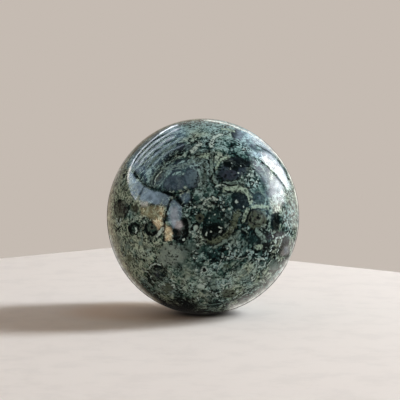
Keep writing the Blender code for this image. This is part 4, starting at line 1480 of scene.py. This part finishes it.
def add_light(name, towards, width, height, tint, watts):
    """A soft light panel, which the polish doesn't mirror because the cards stand for it."""
    data = bpy.data.lights.new(name, "AREA")
    data.shape = "RECTANGLE"
    data.size = width
    data.size_y = height
    data.color = tint
    data.energy = watts
    light = link(bpy.data.objects.new(name, data))
    light.location = BALL_CENTRE + towards.normalized() * LIGHT_DISTANCE
    light.rotation_euler = towards.to_track_quat("Z", "Y").to_euler()
    light.visible_camera = False
    light.visible_glossy = False
    return light


def floor_sheet(settings, material):
    """A flat sheet with a square corner behind the ball, from which its back edges run to both sides."""
    shape = bmesh.new()
    half = settings.floor_width / 2
    back, front = settings.floor_back, -settings.floor_front
    left_end = back - (half + FLOOR_CORNER)
    right_end = back - (half - FLOOR_CORNER)
    outline = [(FLOOR_CORNER, back), (-half, left_end), (-half, front), (half, front), (half, right_end)]
    shape.faces.new([shape.verts.new((x, y, 0.0)) for x, y in outline])
    mesh = mesh_from(shape, "floor")
    mesh.materials.append(material)
    link(bpy.data.objects.new("floor", mesh))


def add_floor(settings):
    """The pale floor, shaded beside and under the ball. The polish mirrors a belt of it, faintly."""
    material, recipe = new_material("pale_floor")
    own = recipe.node("ShaderNodeTexCoord").outputs["Object"]
    grain = recipe.noise(own, 60.0, detail=4.0, roughness=0.65)
    away = recipe.measure("LENGTH", own)

    def floor_tint(share):
        return (*(value * part for value, part in zip(settings.floor, share)), 1.0)

    def near(distance, start, end):
        return recipe.fade(distance, HALF_WIDTH * start, HALF_WIDTH * end)

    tint = recipe.mix(recipe.fade(grain, 0.45, 0.65), floor_tint((1, 1, 1)), floor_tint((WORN, WORN, WORN)))
    beside = recipe.measure("DISTANCE", own, SHADED_SPOT)
    tint = recipe.mix(near(beside, *SHADOW), tint, floor_tint(SHADOW_TINT))
    tint = recipe.mix(near(away, *CONTACT), tint, floor_tint(CONTACT_TINT))
    shader = recipe.node("ShaderNodeBsdfPrincipled", {"Base Color": tint, "Roughness": 0.75})
    parts = recipe.node("ShaderNodeSeparateXYZ", {"Vector": own}).outputs
    begin, full, fading, end = MIRRORED
    shows = recipe.multiply(near(away, begin, full), near(away, end, fading))
    shows = recipe.multiply(shows, recipe.fade(parts["Y"], -settings.floor_near, settings.floor_near / 4))
    shows = recipe.multiply(shows, recipe.fade(parts["X"], -settings.floor_near * 2, 0.0))
    clearness = recipe.maths("MULTIPLY_ADD", shows, -FADED, 1.0)
    rays = recipe.node("ShaderNodeLightPath").outputs
    clearing = recipe.multiply(rays["Is Glossy Ray"], clearness)
    clear = recipe.node("ShaderNodeBsdfTransparent")
    given = {0: clearing, 1: shader.outputs["BSDF"], 2: clear.outputs["BSDF"]}
    both = recipe.node("ShaderNodeMixShader", given)
    recipe.node("ShaderNodeOutputMaterial", {"Surface": both.outputs["Shader"]})
    floor_sheet(settings, material)


def add_surroundings(settings):
    """An even backdrop for the camera, an even light for the surfaces, and a dark front for the polish."""
    world = bpy.data.worlds.new("studio")
    world.use_nodes = True
    world.node_tree.nodes.clear()
    recipe = Recipe(world.node_tree)
    way = recipe.node("ShaderNodeTexCoord").outputs["Generated"]
    parts = recipe.node("ShaderNodeSeparateXYZ", {"Vector": way}).outputs
    rays = recipe.node("ShaderNodeLightPath").outputs
    backdrop = (*settings.backdrop, 1.0)
    behind = recipe.multiply(recipe.fade(parts["Y"], *BACKWARDS), recipe.fade(parts["Z"], *UPWARDS))
    mirrored = recipe.mix(behind, (*settings.front, 1.0), backdrop)
    unseen = recipe.mix(rays["Is Glossy Ray"], (*settings.ambient, 1.0), mirrored)
    tint = recipe.mix(rays["Is Camera Ray"], unseen, backdrop)
    light = recipe.node("ShaderNodeBackground", {"Color": tint, "Strength": 1.0})
    recipe.node("ShaderNodeOutputWorld", {"Surface": light.outputs["Background"]})
    bpy.context.scene.world = world


def add_camera():
    """The camera that shows the 400 pixel frame of the photograph."""
    data = bpy.data.cameras.new("camera")
    data.sensor_width = SENSOR_WIDTH
    data.lens = SENSOR_WIDTH * FOCAL_PIXELS / PHOTO_PIXELS
    data.clip_start = 0.01
    camera = link(bpy.data.objects.new("camera", data))
    camera.location = CAMERA.place
    camera.rotation_euler = CAMERA.turn
    bpy.context.scene.camera = camera


class JASPER_OT_add_stage(bpy.types.Operator):
    """Add the floor, the surroundings, the light panels and the camera"""

    bl_idname = "jasper.add_stage"
    bl_label = "Add stage"
    bl_options = {"REGISTER", "UNDO"}

    def execute(self, context):
        settings = context.scene.jasper_stage
        add_floor(settings)
        add_surroundings(settings)
        add_light(
            "key_light", KEY_WAY, settings.key_width, settings.key_height, settings.key_colour,
            settings.key_power,
        )
        fill = add_light(
            "fill_light", FILL_WAY, settings.fill_width, settings.fill_width, settings.fill_colour,
            settings.fill_power,
        )
        fill.light_linking.receiver_collection = bpy.data.collections.new("lit_by_fill")
        for thing in context.scene.objects:
            if thing.name.startswith("polished_ball"):
                fill.light_linking.receiver_collection.objects.link(thing)
        for place, card in enumerate(CARDS):
            add_card(card, settings.card_distance + place * CARD_GAP)
        add_camera()
        context.scene.view_settings.view_transform = "Standard"
        return {"FINISHED"}


class JASPER_PT_panel(bpy.types.Panel):
    """The ball's sizes and colours, the stage, and what adds them"""

    bl_idname = "JASPER_PT_panel"
    bl_label = "Green jasper ball"
    bl_space_type = "VIEW_3D"
    bl_region_type = "UI"
    bl_category = "Jasper"

    def draw(self, context):
        for name in ("jasper_ball", "jasper_colours", "jasper_stage"):
            box = self.layout.box()
            group = getattr(context.scene, name)
            for prop in group.bl_rna.properties:
                if prop.identifier not in ("rna_type", "name"):
                    box.prop(group, prop.identifier)
        self.layout.operator("jasper.add_ball")
        self.layout.operator("jasper.add_stage")


CLASSES = (
    JasperColours, JasperBallSettings, JasperStageSettings, JASPER_OT_add_ball, JASPER_OT_add_stage,
    JASPER_PT_panel,
)


def register():
    for cls in CLASSES:
        bpy.utils.register_class(cls)
    bpy.types.Scene.jasper_ball = bpy.props.PointerProperty(type=JasperBallSettings)
    bpy.types.Scene.jasper_colours = bpy.props.PointerProperty(type=JasperColours)
    bpy.types.Scene.jasper_stage = bpy.props.PointerProperty(type=JasperStageSettings)


def unregister():
    del bpy.types.Scene.jasper_stage
    del bpy.types.Scene.jasper_colours
    del bpy.types.Scene.jasper_ball
    for cls in reversed(CLASSES):
        bpy.utils.unregister_class(cls)


def main():
    register()
    bpy.ops.jasper.add_ball()
    bpy.ops.jasper.add_stage()


if __name__ == "__main__":
    main()
